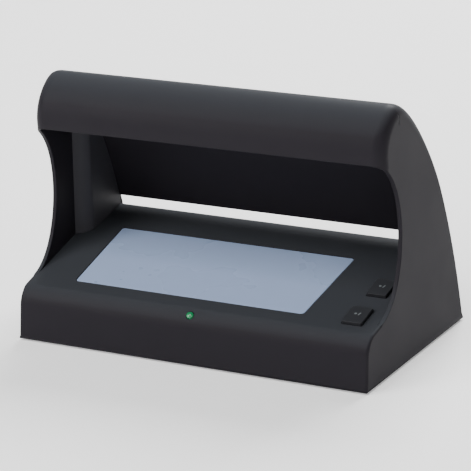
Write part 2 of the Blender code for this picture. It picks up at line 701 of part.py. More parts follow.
def make_lamp_end(name, side, y, z):
    """End cap with its two pins, and the holder that they enter."""
    r = TUBE_RADIUS
    face = TUBE_LENGTH / 2
    cap = turned(f"lamp_cap_{name}", [(0, CAP_LENGTH), (r - 0.0008, CAP_LENGTH), (r, CAP_LENGTH - 0.0008),
                 (r, 0), (0, 0)], PARTS, ORIGIN)
    along_x(cap, side * (face - CAP_LENGTH), y, z, side)
    for number in (-1, 1):
        pin = cutter(rod, f"add_pin_{name}_{number + 1}", PIN_RADIUS, CAP_LENGTH - 0.001,
                     CAP_LENGTH + PIN_LENGTH, steps=8)
        along_x(pin, side * (face - CAP_LENGTH), y, z + number * PIN_SPREAD, side)
        cut(cap, pin, "UNION")
    paint(cap, ALUMINIUM)
    near = face + GAP
    a, b = sorted((side * near, side * (near + HOLDER_THICK)))
    low = tray_z() + TRAY_THICK + GAP
    holder = block(f"lamp_holder_{name}", (a, y - TUBE_RADIUS, low), (b, y + TUBE_RADIUS, z + HOLDER_RISE),
                   PARTS, ORIGIN, radius=0.0008)
    for number in (-1, 1):
        hole = cutter(rod, f"cut_pin_{name}_{number + 1}", PIN_RADIUS + GAP, -0.002, PIN_LENGTH + GAP * 4,
                      steps=8)
        along_x(hole, side * near, y, z + number * PIN_SPREAD, side)
        cut(holder, hole)
    paint(holder, HOLDER_PBT)


def make_ducts():
    """The covers over the lamp leads: each steps in from its leg and runs back to the slot's end."""
    front = duct_front_y()
    back_of_step = front + DUCT_STEP_RUN
    leg = half_width(front, deck_z(front)) - WALL
    end = slot_half() + 0.0004
    for side, name in ((-1, "left"), (1, "right")):
        step = bezier((leg + 0.004, front), (leg - DUCT_STEP * 0.35, front + 0.001),
                      (leg - DUCT_STEP * 0.75, back_of_step - 0.004),
                      (leg - DUCT_STEP, back_of_step + 0.001), 6)
        face = step + [(end, DECK_BACK_Y), (end - 0.004, DECK_BACK_Y + 0.03)]
        back = shifted_in(face, -DUCT_WALL)
        outline = [(side * x, y) for x, y in face + back[::-1]]
        cover = prism_z(f"{name}_wire_duct", outline, 0.0, tray_z() - GAP, PARTS, ORIGIN)
        cut(cover, cutter(loft, f"fit_{name}_duct", bay_outline(GAP), WALL + GAP), "INTERSECT")
        paint(cover, BLACK_ABS)


# ---- Light window ----------------------------------------------------------------------------
def make_light_window():
    under = -WALL - GAP
    panel = prism_z("diffuser_window", window_corners(-GAP), under - 0.001, -GAP, PARTS, DECK,
                    radius=WINDOW_ROUND - GAP)
    flange = cutter(prism_z, "add_diffuser_flange", window_corners(FLANGE), under - PANEL_FLANGE_THICK,
                    under, parent=DECK, radius=WINDOW_ROUND)
    cut(panel, flange, "UNION")
    paint(panel, OPAL)
    top = under - PANEL_FLANGE_THICK - GAP
    low = top - LIGHT_BOX_DEPTH
    box = prism_z("light_box", window_corners(FLANGE), low, top, PARTS, DECK, radius=WINDOW_ROUND)
    hollow = cutter(prism_z, "cut_light_box", window_corners(FLANGE - LIGHT_BOX_WALL), low + LIGHT_BOX_WALL,
                    top + 0.01, parent=DECK, radius=WINDOW_ROUND)
    cut(box, hollow)
    paint(box, WHITE_ABS)
    board_low = low + LIGHT_BOX_WALL + GAP
    board_margin = FLANGE - LIGHT_BOX_WALL - 0.003
    board = prism_z("backlight_board", window_corners(board_margin), board_low, board_low + BOARD_THICK,
                    PARTS, DECK)
    corners = window_corners()
    for row in range(3):
        for column in range(6):
            x = corners[3][0] + (corners[2][0] - corners[3][0]) * (column + 0.5) / 6
            t = corners[0][1] + (corners[2][1] - corners[0][1]) * (row + 0.5) / 3
            z = board_low + BOARD_THICK
            lamp = cutter(block, f"add_white_led_{row}_{column}", (x - 0.0018, t - 0.0014, z - 0.0004),
                          (x + 0.0018, t + 0.0014, z + 0.0012), parent=DECK)
            cut(board, lamp, "UNION")
    paint(board, WHITE_ABS)


# ---- Buttons -------------------------------------------------------------------------------
def switch_top():
    """Top of a switch body, below the deck's top face."""
    return -(BUTTON_DEEP + STEM_LENGTH + GAP + BUTTON_TRAVEL + 0.0006)


def switch_board_depth():
    return -switch_top() + SWITCH_HEIGHT + GAP


def make_button(index, name):
    x, y = button_centre(index)
    place = (x, deck_t(y), 0)
    half_x, half_t = BUTTON_WIDTH / 2, BUTTON_LENGTH / 2
    cap = block(f"{name}_button", (-half_x, -half_t, -BUTTON_DEEP), (half_x, half_t, BUTTON_PROUD),
                PARTS, DECK, radius=0.0006)
    cap.location = place
    rim = cutter(block, f"add_{name}_button_rim", (-half_x - 0.001, -half_t - 0.001, -BUTTON_DEEP + 0.0004),
                 (half_x + 0.001, half_t + 0.001, -WALL - GAP), parent=DECK)
    rim.location = place
    cut(cap, rim, "UNION")
    stem_end = -BUTTON_DEEP - STEM_LENGTH
    stem = cutter(rod, f"add_{name}_button_stem", STEM_RADIUS, stem_end, -BUTTON_DEEP + 0.001, parent=DECK,
                  steps=16)
    stem.location = place
    cut(cap, stem, "UNION")
    paint(cap, BUTTON_ABS)
    make_switch(name, place, stem_end)
    make_button_spring(name, place)


def make_switch(name, place, stem_end):
    top = switch_top()
    half = SWITCH_SIDE / 2
    body = block(f"{name}_switch", (-half, -half, top - SWITCH_HEIGHT), (half, half, top), PARTS, DECK,
                 radius=0.0005)
    body.location = place
    well = cutter(rod, f"cut_{name}_switch", PLUNGER_RADIUS + GAP, top - 0.0055, top + 0.01, parent=DECK,
                  steps=16)
    well.location = place
    cut(body, well)
    paint(body, SWITCH_BLACK)
    high = stem_end - GAP
    plunger = rod(f"{name}_switch_plunger", PLUNGER_RADIUS, high - PLUNGER_LENGTH, high, PARTS, DECK,
                  steps=12)
    plunger.location = place
    paint(plunger, PLUNGER_WHITE)


def make_button_spring(name, place):
    """Coil round the stem, between the cap and the switch."""
    high = -BUTTON_DEEP - GAP - SPRING_WIRE / 2
    low = switch_top() + GAP + SPRING_WIRE / 2
    radius = STEM_RADIUS + GAP * 2 + SPRING_WIRE / 2
    per_turn = 12
    count = SPRING_TURNS * per_turn
    route = []
    for i in range(count + 1):
        turn = 2 * math.pi * i / per_turn
        route.append((radius * math.cos(turn), radius * math.sin(turn), low + (high - low) * i / count))
    spring = wire(f"{name}_button_spring", route, SPRING_WIRE / 2, PARTS, DECK)
    spring.location = place
    paint(spring, STEEL)


def make_switch_board():
    x, y = button_centre(0.5)
    top = -switch_board_depth()
    half_t = deck_t(BUTTON_PITCH) / 2 + 0.019
    board = block("switch_board", (x - 0.0095, deck_t(y) - half_t, top - BOARD_THICK),
                  (x + 0.0095, deck_t(y) + half_t, top), PARTS, DECK)
    paint(board, LAMINATE)


# ---- Indicator -----------------------------------------------------------------------------
def make_indicator():
    r = LED_RADIUS
    angles = [math.pi / 2 * k / 5 for k in range(5, -1, -1)]
    dome = [(r * math.cos(angle), 0.0002 + r * 0.6 * math.sin(angle)) for angle in angles]
    low = 0.0002 - LED_LENGTH
    collar = [(r, -WALL - 0.0025), (r + 0.0004, -WALL - 0.0025), (r + 0.0004, low), (0, low)]
    lens = turned("status_led", dome + collar, PARTS, ORIGIN, steps=20)
    lens.matrix_local = led_matrix()
    paint(lens, GREEN_LENS)
    board = block("led_board", (-0.008, -0.005, low - GAP - BOARD_THICK), (0.008, 0.0045, low - GAP), PARTS,
                  ORIGIN)
    board.matrix_local = led_matrix()
    paint(board, LAMINATE)


# ---- Power ---------------------------------------------------------------------------------
def power_board_y():
    back = BODY_DEPTH - WALL - 0.0085
    return back - POWER_BOARD_DEPTH, back


def power_posts():
    front, back = power_board_y()
    inset = 0.004
    columns = (POWER_BOARD_X[0] + inset, POWER_BOARD_X[1] - inset)
    return [(x, y) for x in columns for y in (front + inset, back - inset)]


def make_power_board():
    front, back = power_board_y()
    low = POWER_BOARD_Z
    left, right = POWER_BOARD_X
    board = block("ballast_board", (left, front, low), (right, back, low + BOARD_THICK), PARTS, ORIGIN)
    paint(board, LAMINATE)
    top = low + BOARD_THICK + GAP
    middle = (front + back) / 2
    half = CHOKE_WIDTH / 2
    for number in (1, 2):
        x = left + CHOKE_WIDTH + CHOKE_PITCH * (number - 1)
        core = block(f"lamp_choke_{number}", (x - half, middle - half + 0.001, top),
                     (x + half, middle + half - 0.001, top + CHOKE_HEIGHT), PARTS, ORIGIN, radius=0.0006)
        bobbin = cutter(block, f"add_choke_bobbin_{number}",
                        (x - half * 0.7, middle - half - 0.002, top + 0.002),
                        (x + half * 0.7, middle + half + 0.002, top + CHOKE_HEIGHT - 0.002))
        cut(core, bobbin, "UNION")
        paint(core, FERRITE)
    r = CAPACITOR_RADIUS
    height = CAPACITOR_HEIGHT
    can = turned("bulk_capacitor", [(0, height), (r - 0.0006, height), (r, height - 0.0006), (r, 0.0006),
                 (r - 0.0006, 0), (0, 0)], PARTS, ORIGIN)
    can.location = (right - 0.038, middle, top)
    paint(can, FOIL_SLEEVE)
    fuse = rod("mains_fuse", FUSE_RADIUS, -FUSE_LENGTH / 2, FUSE_LENGTH / 2, PARTS, ORIGIN, steps=16)
    along_x(fuse, right - 0.015, middle, top + FUSE_RADIUS)
    paint(fuse, LAMP_GLASS)


def make_inlet():
    """Two-pin appliance inlet in the back wall: a flanged cup with its pins."""
    half_x, half_z = INLET_WIDTH / 2, INLET_HEIGHT / 2
    cup = block("power_inlet", (-half_x, -INLET_DEEP, -half_z), (half_x, 0.0005, half_z), PARTS, ORIGIN,
                radius=0.0012)
    cup.matrix_local = inlet_matrix()
    flange = cutter(block, "add_inlet_flange", (-half_x - 0.002, GAP + 0.0002, -half_z - 0.002),
                    (half_x + 0.002, GAP + 0.0019, half_z + 0.002))
    flange.matrix_local = inlet_matrix()
    cut(cup, flange, "UNION")
    socket = cutter(block, "cut_inlet_socket", (-half_x + 0.0025, -0.0125, -half_z + 0.0035),
                    (half_x - 0.0025, 0.01, half_z - 0.0035))
    socket.matrix_local = inlet_matrix()
    cut(cup, socket)
    for number in (-1, 1):
        pin = cutter(rod, f"add_inlet_pin_{number + 1}", 0.0012, 0, 0.0120, steps=12)
        pin.matrix_local = (inlet_matrix() @ Matrix.Translation((number * 0.0043, -0.0135, 0))
                            @ Matrix.Rotation(-math.pi / 2, 4, "X"))
        cut(cup, pin, "UNION")
    paint(cup, SWITCH_BLACK)


def lamp_lead_route(side, start):
    """From the ballast up through the deck and the duct, and over the tray to the holders."""
    front, back = power_board_y()
    lift = POWER_BOARD_Z + BOARD_THICK + LEAD_RADIUS + 0.0006
    tray = tray_z() + TRAY_THICK
    x, y = duct_hole_place(side)
    deck = deck_z(y)
    wall_gap = WALL + LEAD_RADIUS + 0.0006
    duct = duct_front_y()
    top_x = side * (half_width(duct, tray) - wall_gap)
    across = side * (TUBE_LENGTH / 2 + HOLDER_THICK + GAP + 0.0026)
    return [(start, front + 0.004, lift), (start + side * 0.008, front - 0.006, lift + 0.001),
            (x - side * 0.012, y - 0.002, deck - 0.024), (x, y, deck - 0.010), (x, y, deck + 0.004),
            (top_x, duct + 0.0066, tray - 0.007),
            (top_x - side * 0.0004, duct + 0.0062, tray + 0.0012),
            (top_x - side * 0.0035, duct + 0.0010, tray + 0.0028),
            (across, duct - 0.006, tray + 0.004), (across, FRONT_TUBE_Y + 0.004, tray + 0.004)]


def make_leads():
    """Lamp leads from the ballast up through the ducts, and the inlet's lead."""
    back = power_board_y()[1]
    lift = POWER_BOARD_Z + BOARD_THICK + LEAD_RADIUS + 0.0006
    for side, name, start in ((-1, "left", POWER_BOARD_X[0] - 0.002), (1, "right", POWER_BOARD_X[1] + 0.002)):
        route = smooth_route(lamp_lead_route(side, start))
        paint(wire(f"lamp_lead_{name}", route, LEAD_RADIUS, PARTS, ORIGIN), WIRE_WHITE)
    inlet_back = inlet_matrix() @ Vector((0, -INLET_DEEP - 0.0008, 0))
    route = [tuple(inlet_back), (INLET_X - 0.004, inlet_back.y - 0.006, INLET_Z - 0.004),
             (INLET_X - 0.022, back - 0.008, lift + 0.003),
             (POWER_BOARD_X[1] + 0.002, back - 0.006, lift)]
    paint(wire("inlet_lead", smooth_route(route), LEAD_RADIUS, PARTS, ORIGIN), WIRE_WHITE)


# ---- Feet and screws -----------------------------------------------------------------------
def make_feet():
    r = FOOT_RADIUS
    for name, x_side, y in (("front_left", -1, FOOT_INSET), ("front_right", 1, FOOT_INSET),
                            ("rear_left", -1, BODY_DEPTH - FOOT_INSET),
                            ("rear_right", 1, BODY_DEPTH - FOOT_INSET)):
        top = 0.0005 - GAP
        profile = [(0, top), (r, top), (r, -FOOT_STAND + 0.0005), (r - 0.0005, -FOOT_STAND),
                   (0, -FOOT_STAND)]
        foot = turned(f"foot_{name}", profile, PARTS, ORIGIN)
        foot.location = (x_side * (half_width(y, 0) - FOOT_INSET), y, 0)
        paint(foot, RUBBER)


def make_screws():
    head_top = 0.0005 - GAP
    for number, (x, y, _) in enumerate(screw_places(), 1):
        profile = [(0, SCREW_LENGTH), (SCREW_RADIUS * 0.5, SCREW_LENGTH),
                   (SCREW_RADIUS, SCREW_LENGTH - 0.002), (SCREW_RADIUS, head_top),
                   (SCREW_HEAD_RADIUS, head_top), (SCREW_HEAD_RADIUS, head_top - 0.0006),
                   (0.0020, head_top - 0.0011), (0, head_top - 0.0011)]
        screw = turned(f"base_screw_{number}", profile, PARTS, ORIGIN, steps=16)
        screw.location = (x, y, 0)
        paint(screw, STEEL)


make_housing()
make_bottom_plate()
make_lamp_tray()
make_reflector()
make_lamps()
make_ducts()
make_light_window()
make_button(0, "front")
make_button(1, "rear")
make_switch_board()
make_indicator()
make_power_board()
make_inlet()
make_leads()
make_feet()
make_screws()
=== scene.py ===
"""Looks of the counter-top counterfeit bill detector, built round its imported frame.

Lengths are metres.  Body shapes are worked out in the design frame, with y = 0 at the front of
the base and z = 0 at the housing's rim, and are then moved into the frame's own coordinates.
"""
import math

import bmesh
import bpy
from mathutils import Matrix, Vector
from mathutils.geometry import interpolate_bezier


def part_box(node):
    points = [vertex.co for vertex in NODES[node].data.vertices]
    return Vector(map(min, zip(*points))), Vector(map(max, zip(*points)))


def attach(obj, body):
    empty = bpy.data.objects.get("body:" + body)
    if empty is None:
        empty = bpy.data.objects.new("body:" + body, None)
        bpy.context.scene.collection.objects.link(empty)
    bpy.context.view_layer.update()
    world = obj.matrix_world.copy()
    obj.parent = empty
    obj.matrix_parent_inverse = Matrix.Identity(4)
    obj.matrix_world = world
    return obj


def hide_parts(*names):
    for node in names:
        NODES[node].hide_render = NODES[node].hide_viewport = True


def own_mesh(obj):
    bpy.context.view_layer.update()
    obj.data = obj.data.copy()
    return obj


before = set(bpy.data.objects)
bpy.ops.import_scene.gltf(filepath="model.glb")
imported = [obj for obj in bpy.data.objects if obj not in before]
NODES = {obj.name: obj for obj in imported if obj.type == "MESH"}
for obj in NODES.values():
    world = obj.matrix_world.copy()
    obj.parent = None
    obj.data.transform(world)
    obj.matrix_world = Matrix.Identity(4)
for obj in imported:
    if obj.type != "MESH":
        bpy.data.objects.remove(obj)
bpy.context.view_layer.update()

# ---- Sizes read from the frame ----------------------------------------------------------------
HOUSING_LOW, HOUSING_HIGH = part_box("housing_shell")
BODY_DEPTH = -2 * HOUSING_LOW.y
FOOT_STAND = HOUSING_LOW.z
BODY_HEIGHT = HOUSING_HIGH.z - HOUSING_LOW.z
PLAN_FLARE = 0.0515            # how fast each side moves out towards the back
SIDE_DRAFT = 0.019            # how fast each side moves in towards the top
BODY_WIDTH = 2 * (HOUSING_HIGH.x - PLAN_FLARE * BODY_DEPTH)

# ---- Side profile ------------------------------------------------------------------------------
WALL = 0.0030
GAP = 0.0003
FRONT_LEAN = 0.0026
FRONT_TOP = 0.0243
LIP_RUN = 0.0130
LIP_RISE = 0.0055             # handle above the front wall's top
LIP_HANDLE = 0.0045           # handle in front of the deck
DECK_FRONT_Z = 0.0347
DECK_SLOPE = 0.185
LEG_FOOT_Y = 0.0235
LEG_HOLLOW = 0.0395
LEG_LIFT = 0.0063
LEG_REACH = 0.0387
LEG_TURN = 0.0203
HOOD_FRONT_Y = 0.0335
HOOD_DROP = 0.0354
CREST_Y = 0.0584
CREST_HANDLE = 0.0080
HOOD_BULGE = 0.0038
HOOD_RISE = 0.0213
REAR_SHOULDER = 0.0346
REAR_RISE = 0.0928
REAR_LEAN = math.radians(10.0)
DECK_BACK_GAP = 0.0195
SLOT_HEIGHT = 0.0072
SLOT_END_INSET = 0.0150
SLOT_LEAD_IN = 0.0060         # how far the slot's cut reaches forward over the deck
ROLL_RUN = 0.0048             # rolled-over back edge of the deck
ROLL_DROP = 0.0045
EDGE_RADIUS = 0.0020
HOOD_RADIUS = 0.0085
REAR_EDGE_RADIUS = 0.0021
ROUNDING_START = 0.72         # height where the larger radius begins, per height of the hood's edge

# ---- Deck --------------------------------------------------------------------------------------
WINDOW_LEFT_MARGIN = 0.0335
WINDOW_RIGHT_MARGIN = 0.0561
WINDOW_FRONT_Y = 0.0244
WINDOW_DEPTH = 0.0770
WINDOW_ROUND = 0.0025
FLANGE = 0.0040
FLANGE_THICK = 0.0020
BUTTON_INSET = 0.0193
BUTTON_WIDTH = 0.0145
BUTTON_LENGTH = 0.0205
BUTTON_FRONT_Y = 0.0300
BUTTON_PITCH = 0.0370
BUTTON_PROUD = 0.0022
BUTTON_DEEP = 0.0053
BUTTON_ROUND = 0.0012
RIM_OVERHANG = 0.0010         # rim that holds the cap under the deck
RIM_RAISE = 0.0004
DOT_RADIUS = 0.0009           # printed dot and slanted bar on each cap
DOT_PLACE = (-0.0013, 0.0006, 0)
BAR_HALF_WIDTH = 0.0004
BAR_HALF_LENGTH = 0.0016
BAR_PLACE = (0.0014, 0.0006, 0)
BAR_TURN = math.radians(-14)
INK_LOW = BUTTON_PROUD - 0.0001
INK_HIGH = BUTTON_PROUD + 0.0002
STEM_RADIUS = 0.0020
STEM_LENGTH = 0.0037
SWITCH_TOP = -0.0117          # below the deck's top face
SPRING_WIRE = 0.0005
SPRING_TURNS = 4
LED_RADIUS = 0.0025
LED_Y = 0.0070
LED_TILT = math.radians(38)
LED_FOOT = -0.0083
LED_SHOULDER = 0.0002         # where the dome begins, above the lip
LED_DOME = 0.6                # dome's height per radius
LED_COLLAR = 0.0004
LED_COLLAR_DROP = 0.0025

# ---- Ducts, base and inlet -----------------------------------------------------------------------
TRAY_RECESS = 0.0015
DUCT_ROOM = 0.0123            # depth between the ducts' front and the back wall, at the lamp tray
DUCT_STEP_RUN = 0.0085
DUCT_STEP = 0.0095
DUCT_WALL = 0.0015
PLATE_TOP = 0.0030
BOSS_RADIUS = 0.0040
BOSS_BORE = 0.0017
SCREW_DEPTH = 0.0130
SCREW_RADIUS = 0.0014
SCREW_HEAD_RADIUS = 0.0028
SCREW_HEAD_DEPTH = 0.0011
TUBE_CROWN = 0.0030           # length of the domed end of a lamp tube
CAP_LENGTH = 0.0070
CAP_GROOVE = 0.0004
PIN_LENGTH = 0.0065
PIN_RADIUS = 0.0011
PIN_SPREAD = 0.0024
PIN_ROUND = 0.0004
HOLDER_CORNER = 0.0016
HOLDER_SOFT = 0.0005
INLET_X = 0.0700
INLET_Z = 0.0240
INLET_WIDTH = 0.0240
INLET_HEIGHT = 0.0150
INLET_DEEP = 0.0160
INLET_PROUD = 0.0011          # cup's edge, inside the flange
INLET_LIP = 0.0020            # how far the flange reaches past the cup
INLET_LIP_LOW = GAP + 0.0002
INLET_LIP_HIGH = GAP + 0.0019
SOCKET_DEPTH = 0.0125
SOCKET_SIDE = 0.0025          # walls left beside and above the socket
SOCKET_ABOVE = 0.0035
INLET_PIN_RADIUS = 0.0012
INLET_PIN_TIP = -0.0015
INLET_PIN_ROOT = -0.0124
INLET_PIN_HALF_PITCH = 0.0043

FAR = 0.4                     # past any face of the body
MOUTH = 0.02                  # how far in front of the body the cuts for the opening begin
CUT_LOW = -0.008              # reach of the cutters below and above the deck
CUT_HIGH = 0.02
LED_CUT_HIGH = 0.01
INLET_CUT = 0.012
BITE = 0.001                  # how far a joined piece reaches into the one it joins
DECK_ANGLE = math.atan(DECK_SLOPE)
HOOD_EDGE_Z = BODY_HEIGHT - HOOD_DROP
DECK_BACK_Y = BODY_DEPTH - DECK_BACK_GAP
DESIGN = Matrix.Translation((0, -BODY_DEPTH / 2, FOOT_STAND))
DECK = DESIGN @ Matrix.Translation((0, 0, DECK_FRONT_Z)) @ Matrix.Rotation(DECK_ANGLE, 4, "X")
SOFT_EDGE = 0.00045           # rounding that moulding leaves on an edge
SIDE_STEPS = 12               # spans round the edge where a face meets a side


# ---- Shapes of the body ------------------------------------------------------------------------
def half_width(y, z):
    """Distance from the middle plane to the outer side of the body."""
    return BODY_WIDTH / 2 + PLAN_FLARE * y - SIDE_DRAFT * z


def deck_z(y):
    return DECK_FRONT_Z + DECK_SLOPE * y


def deck_t(y):
    """Distance up the deck's slope of a point above y."""
    return y / math.cos(DECK_ANGLE)


def arc(start, handle_1, handle_2, end, spans):
    """Points of a cubic curve as (y, z) pairs."""
    knots = [Vector((*point, 0)) for point in (start, handle_1, handle_2, end)]
    return [(point.x, point.y) for point in interpolate_bezier(*knots, spans + 1)]


def lip_curve():
    top = (FRONT_LEAN, FRONT_TOP)
    before_deck = LIP_RUN - LIP_HANDLE
    rise = (FRONT_LEAN * (1 + LIP_RISE / FRONT_TOP), FRONT_TOP + LIP_RISE)
    return arc(top, rise, (before_deck, deck_z(before_deck)), (LIP_RUN, deck_z(LIP_RUN)), 14)


def leg_curve():
    foot = (LEG_FOOT_Y, deck_z(LEG_FOOT_Y))
    low = (LEG_FOOT_Y + LEG_HOLLOW, deck_z(LEG_FOOT_Y) + LEG_LIFT)
    high = (HOOD_FRONT_Y + LEG_REACH, HOOD_EDGE_Z - LEG_TURN)
    return arc(foot, low, high, (HOOD_FRONT_Y, HOOD_EDGE_Z), 48)


def hood_curve():
    low = (HOOD_FRONT_Y - HOOD_BULGE, HOOD_EDGE_Z + HOOD_RISE)
    before_crest = (CREST_Y - CREST_HANDLE, BODY_HEIGHT)
    return arc((HOOD_FRONT_Y, HOOD_EDGE_Z), low, before_crest, (CREST_Y, BODY_HEIGHT), 26)


def rear_curve():
    low = (BODY_DEPTH - math.sin(REAR_LEAN) * REAR_RISE, math.cos(REAR_LEAN) * REAR_RISE)
    return arc((CREST_Y, BODY_HEIGHT), (CREST_Y + REAR_SHOULDER, BODY_HEIGHT), low, (BODY_DEPTH, 0.0), 56)


def shifted_in(points, distance):
    """A copy of an open outline, moved to the right of its own direction."""
    moved = []
    for i, point in enumerate(points):
        along = Vector(points[min(i + 1, len(points) - 1)]) - Vector(points[max(i - 1, 0)])
        along.normalize()
        moved.append((point[0] + along.y * distance, point[1] - along.x * distance))
    return moved


def rear_radius(z):
    """Side-edge radius of the back: large at the hood, small from the legs down."""
    start = HOOD_EDGE_Z * ROUNDING_START
    share = min(max((z - start) / (BODY_HEIGHT - start), 0.0), 1.0)
    return REAR_EDGE_RADIUS + (HOOD_RADIUS - REAR_EDGE_RADIUS) * share * share * (3 - 2 * share)


def body_outline():
    outline = [(0.0, 0.0, 0.0), (FRONT_LEAN * EDGE_RADIUS / FRONT_TOP, EDGE_RADIUS, EDGE_RADIUS)]
    outline += [(y, z, EDGE_RADIUS) for y, z in lip_curve()]
    outline.append((LEG_FOOT_Y, deck_z(LEG_FOOT_Y), EDGE_RADIUS))
    outline.append((HOOD_FRONT_Y, deck_z(LEG_FOOT_Y) + HOOD_RADIUS * 2, HOOD_RADIUS))
    outline += [(y, z, HOOD_RADIUS) for y, z in hood_curve()]
    outline += [(y, z, rear_radius(z)) for y, z in rear_curve()[1:-1]]
    return outline + [(BODY_DEPTH, 0.0, 0.0)]


def bay_outline(shrink):
    """Space over the deck, between the legs and up into the hood."""
    thick = WALL + shrink
    floor = deck_z(LEG_FOOT_Y) + shrink
    back_floor = deck_z(DECK_BACK_Y) + shrink
    over = shifted_in(hood_curve() + rear_curve()[1:], thick)
    over = [p for p in over if p[1] > back_floor + 0.002 and (p[1] > HOOD_EDGE_Z or p[0] > CREST_Y)]
    outline = [(LEG_FOOT_Y, floor, 0.0), (-MOUTH, floor + MOUTH, 0.0), (-MOUTH, HOOD_EDGE_Z, 0.0)]
    outline.append((over[0][0], HOOD_EDGE_Z, HOOD_RADIUS - thick))
    for y, z in over:
        outer = rear_radius(z) if y > CREST_Y else HOOD_RADIUS
        outline.append((y, z, max(outer - thick, 0.0)))
    outline.append((DECK_BACK_Y - shrink * 2, back_floor, 0.0))
    return outline


def base_cavity_outline():
    """Space under the deck, open at the rim."""
    below = 0.01
    clear = 0.002
    front = shifted_in([(-FRONT_LEAN * below / FRONT_TOP, -below)] + lip_curve(), WALL)
    roof = deck_z(0) - WALL / math.cos(DECK_ANGLE)
    high = roof + DECK_SLOPE * DECK_BACK_Y - clear
    back = [p for p in shifted_in(rear_curve(), WALL) if clear < p[1] < high]
    corner = back[0][0] - 0.003
    heel = BODY_DEPTH - WALL / math.cos(REAR_LEAN) + math.tan(REAR_LEAN) * below
    outline = [(y, z, 0.0) for y, z in front]
    outline.append((corner, roof + DECK_SLOPE * corner, 0.0))
    outline += [(y, z, 0.0) for y, z in back]
    return outline + [(heel, -below, 0.0)]


def duct_front_y():
    """Front of the wire ducts, a fixed room in front of the back wall's inner face at the tray."""
    tray = HOOD_EDGE_Z + TRAY_RECESS
    wall = shifted_in(rear_curve(), WALL)
    for (y_high, high), (y_low, low) in zip(wall, wall[1:]):
        if low <= tray <= high:
            return y_low + (y_high - y_low) * (tray - low) / (high - low) - DUCT_ROOM


def slot_half():
    return half_width(DECK_BACK_Y, deck_z(DECK_BACK_Y)) - SLOT_END_INSET


def slot_outline():
    """Bill slot through the back wall, with the deck's back edge rolled over."""
    y = DECK_BACK_Y - 0.0005
    z = deck_z(y)
    low = z - ROLL_DROP
    roll = arc((y, z), (y + 0.0030, z + 0.0002), (y + ROLL_RUN, z - 0.0010), (y + ROLL_RUN, low), 10)
    back = [(FAR, low), (FAR, z + SLOT_HEIGHT), (y - SLOT_LEAD_IN, z + SLOT_HEIGHT)]
    return [(y - SLOT_LEAD_IN, z + 0.003)] + roll + back


def window_corners(margin=0.0):
    """(x, distance up the deck) of the light window's corners, grown by a margin."""
    left = -BODY_WIDTH / 2 + WINDOW_LEFT_MARGIN - margin
    right = BODY_WIDTH / 2 - WINDOW_RIGHT_MARGIN + margin
    front = deck_t(WINDOW_FRONT_Y) - margin
    back = deck_t(WINDOW_FRONT_Y + WINDOW_DEPTH) + margin
    spread = PLAN_FLARE * WINDOW_DEPTH
    return [(left, front), (right, front), (right + spread, back), (left - spread, back)]


def button_centre(index):
    """(x, distance up the deck) of a button: 0 is the front one, 1 the rear one."""
    y = BUTTON_FRONT_Y + BUTTON_PITCH * index
    return BODY_WIDTH / 2 - BUTTON_INSET + PLAN_FLARE * (y - BUTTON_FRONT_Y), deck_t(y)


def button_frame(index):
    return DECK @ Matrix.Translation((*button_centre(index), 0))


def led_frame():
    place = min(lip_curve(), key=lambda point: abs(point[0] - LED_Y))
    return DESIGN @ Matrix.Translation((0, *place)) @ Matrix.Rotation(LED_TILT, 4, "X")


def inlet_frame():
    """Frame of the inlet: in the back wall's outer face, its y outwards, leaning as the wall does."""
    wall = rear_curve()
    i = min(range(1, len(wall) - 1), key=lambda k: abs(wall[k][1] - INLET_Z))
    lean = math.atan2(wall[i + 1][0] - wall[i - 1][0], wall[i - 1][1] - wall[i + 1][1])
    return DESIGN @ Matrix.Translation((INLET_X, wall[i][0], INLET_Z)) @ Matrix.Rotation(lean, 4, "X")


# ---- Making meshes -----------------------------------------------------------------------------
def new_piece(name, bm, place=DESIGN):
    """Put a finished bmesh at its place in the frame, as an object at the origin."""
    bmesh.ops.remove_doubles(bm, verts=bm.verts, dist=1e-6)
    bmesh.ops.transform(bm, matrix=place, verts=bm.verts)
    bmesh.ops.recalc_face_normals(bm, faces=bm.faces)
    mesh = bpy.data.meshes.new(name)
    bm.to_mesh(mesh)
    bm.free()
    piece = bpy.data.objects.new(name, mesh)
    bpy.context.scene.collection.objects.link(piece)
    return piece


def settle(piece):
    """Make the result of a piece's modifiers its own mesh."""
    graph = bpy.context.evaluated_depsgraph_get()
    mesh = bpy.data.meshes.new_from_object(piece.evaluated_get(graph))
    piece.modifiers.clear()
    piece.data = mesh


def combine(piece, other, operation="DIFFERENCE"):
    """Cut another solid out of a piece, or join it on, and use it up."""
    modifier = piece.modifiers.new("combine", "BOOLEAN")
    modifier.operation = operation
    modifier.solver = "EXACT"
    modifier.object = other
    settle(piece)
    bpy.data.objects.remove(other)


